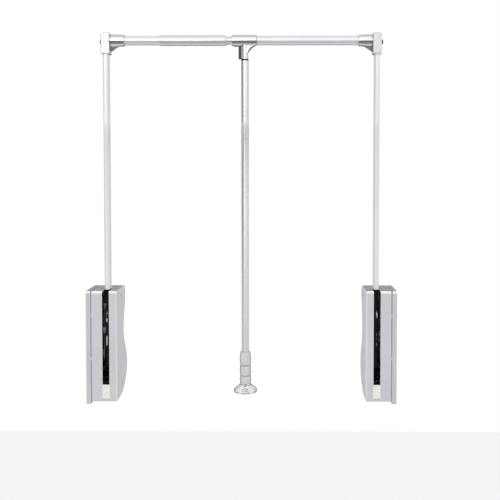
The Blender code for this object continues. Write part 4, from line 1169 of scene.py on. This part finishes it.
# Studio. Gloss and ambient are the world's strength for mirrored and for plain light.
FLOOR_Z = -1.30
FLOOR_FAR_Y = 3.8
FLOOR_NEAR_Y = -14.0
FLOOR_HALF_WIDTH = 14.0
FLOOR_GLOW = 0.37
CARD_DROP = 0.19
CARD_NEAR = 0.08
CARD_FAR = 1.7
CARD_HALF_WIDTH = 1.6
DARK_CARD = 0.19
GREY_CARD = 0.58
CARD_TINT = (1.0, 1.02, 1.06)
AMBIENT = 1.02
TOP_AMBIENT = 0.8
FRONT_GLOSS = 1.05
BACK_GLOSS = 0.6
LEFT_GLOSS = 0.12
WHITE = (1.0, 1.0, 1.0, 1.0)
LAMP_AIM = (MIDDLE_X, 0.0, 0.3)

# Name, place, size and power of each lamp, and whether metal mirrors it
LAMPS = (
    ("key", (-0.6, -3.0, 1.15), 1.6, 9.0, True),
    ("left_lamp", (-2.0, -1.0, 0.3), 1.2, 5.0, False),
    ("right_lamp", (2.7, -1.0, 0.3), 1.2, 6.0, False),
)


def stage_mesh(name, work, material):
    """Puts a mesh of the studio, not of the part, in the scene."""
    mesh = bpy.data.meshes.new(name)
    work.to_mesh(mesh)
    work.free()
    mesh.materials.append(material)
    made = bpy.data.objects.new(name, mesh)
    studio.objects.link(made)
    return made


def make_floor():
    """A pale floor well below the lift, where nothing reaches it at any pose."""
    work = bmesh.new()
    corners = [
        (MIDDLE_X - FLOOR_HALF_WIDTH, FLOOR_NEAR_Y),
        (MIDDLE_X + FLOOR_HALF_WIDTH, FLOOR_NEAR_Y),
        (MIDDLE_X + FLOOR_HALF_WIDTH, FLOOR_FAR_Y),
        (MIDDLE_X - FLOOR_HALF_WIDTH, FLOOR_FAR_Y),
    ]
    work.faces.new([work.verts.new((x, y, FLOOR_Z)) for x, y in corners])
    shader = Shader("floor", Roughness=0.9, Base_Color=srgb(204, 204, 204), Emission_Color=WHITE)
    seen = shader.node("ShaderNodeLightPath").outputs["Is Camera Ray"]
    glow = shader.spread(seen, 0.0, 1.0, 0.0, FLOOR_GLOW)
    shader.link(glow, shader.surface.inputs["Emission Strength"])
    stage_mesh("floor", work, shader.material)


def make_cards():
    """Dark and grey cards below the rail, which only gloss sees, for the bands under polished metal."""
    height = RAIL_Z - CARD_DROP
    for name, near, far, level in (
        ("front_card", -CARD_FAR, -CARD_NEAR, DARK_CARD),
        ("middle_card", -CARD_NEAR, CARD_NEAR, GREY_CARD),
        ("back_card", CARD_NEAR, CARD_FAR, DARK_CARD),
    ):
        material = bpy.data.materials.new(name)
        material.use_nodes = True
        nodes = Nodes(material.node_tree)
        nodes.tree.nodes.clear()
        glow = nodes.node("ShaderNodeEmission")
        glow.inputs["Color"].default_value = (*(level * tint for tint in CARD_TINT), 1.0)
        nodes.link(glow.outputs[0], nodes.node("ShaderNodeOutputMaterial").inputs["Surface"])
        work = bmesh.new()
        left, right = MIDDLE_X - CARD_HALF_WIDTH, MIDDLE_X + CARD_HALF_WIDTH
        places = [(left, near, height), (right, near, height), (right, far, height), (left, far, height)]
        work.faces.new([work.verts.new(place) for place in places])
        card = stage_mesh(name, work, material)
        card.visible_camera = False
        card.visible_diffuse = False
        card.visible_shadow = False
        card.visible_transmission = False


def make_world():
    """White to the camera, plain light for colour, and greyer behind the lift where metal mirrors it."""
    world = bpy.data.worlds.new("studio")
    scene.world = world
    world.use_nodes = True
    nodes = Nodes(world.node_tree)
    nodes.tree.nodes.clear()

    def background(strength):
        made = nodes.node("ShaderNodeBackground")
        made.inputs["Color"].default_value = WHITE
        if isinstance(strength, bpy.types.NodeSocket):
            nodes.link(strength, made.inputs["Strength"])
        else:
            made.inputs["Strength"].default_value = strength
        return made.outputs[0]

    def mix(*sources):
        made = nodes.node("ShaderNodeMixShader")
        for source, socket in zip(sources, made.inputs):
            nodes.link(source, socket)
        return made.outputs[0]

    ray = nodes.node("ShaderNodeLightPath").outputs
    facing = nodes.axes(nodes.node("ShaderNodeTexCoord").outputs["Generated"])
    back = nodes.spread(facing["Y"], -0.8, -0.1, FRONT_GLOSS, BACK_GLOSS)
    left = nodes.spread(facing["X"], -0.9, -0.4, LEFT_GLOSS, 1.0)
    gloss = background(nodes.maths("MULTIPLY", back, left))
    plain = background(nodes.spread(facing["Z"], 0.15, 0.85, AMBIENT, TOP_AMBIENT))
    light = mix(ray["Is Glossy Ray"], plain, gloss)
    seen = nodes.maths("MAXIMUM", ray["Is Camera Ray"], ray["Is Transmission Ray"])
    out = nodes.node("ShaderNodeOutputWorld")
    nodes.link(mix(seen, light, background(1.0)), out.inputs["Surface"])


def make_lamps():
    """One lamp from the front, and one from each side, all aimed at the lift."""
    for name, place, size, power, mirrored_by_metal in LAMPS:
        data = bpy.data.lights.new(name, "AREA")
        data.size = size
        data.energy = power
        lamp = bpy.data.objects.new(name, data)
        lamp.location = place
        lamp.rotation_euler = (Vector(LAMP_AIM) - Vector(place)).to_track_quat("-Z", "Y").to_euler()
        lamp.visible_glossy = mirrored_by_metal
        studio.objects.link(lamp)


make_housings()
make_mechanism()
make_arms()
make_rail()
make_handle()
make_floor()
make_cards()
make_world()
make_lamps()
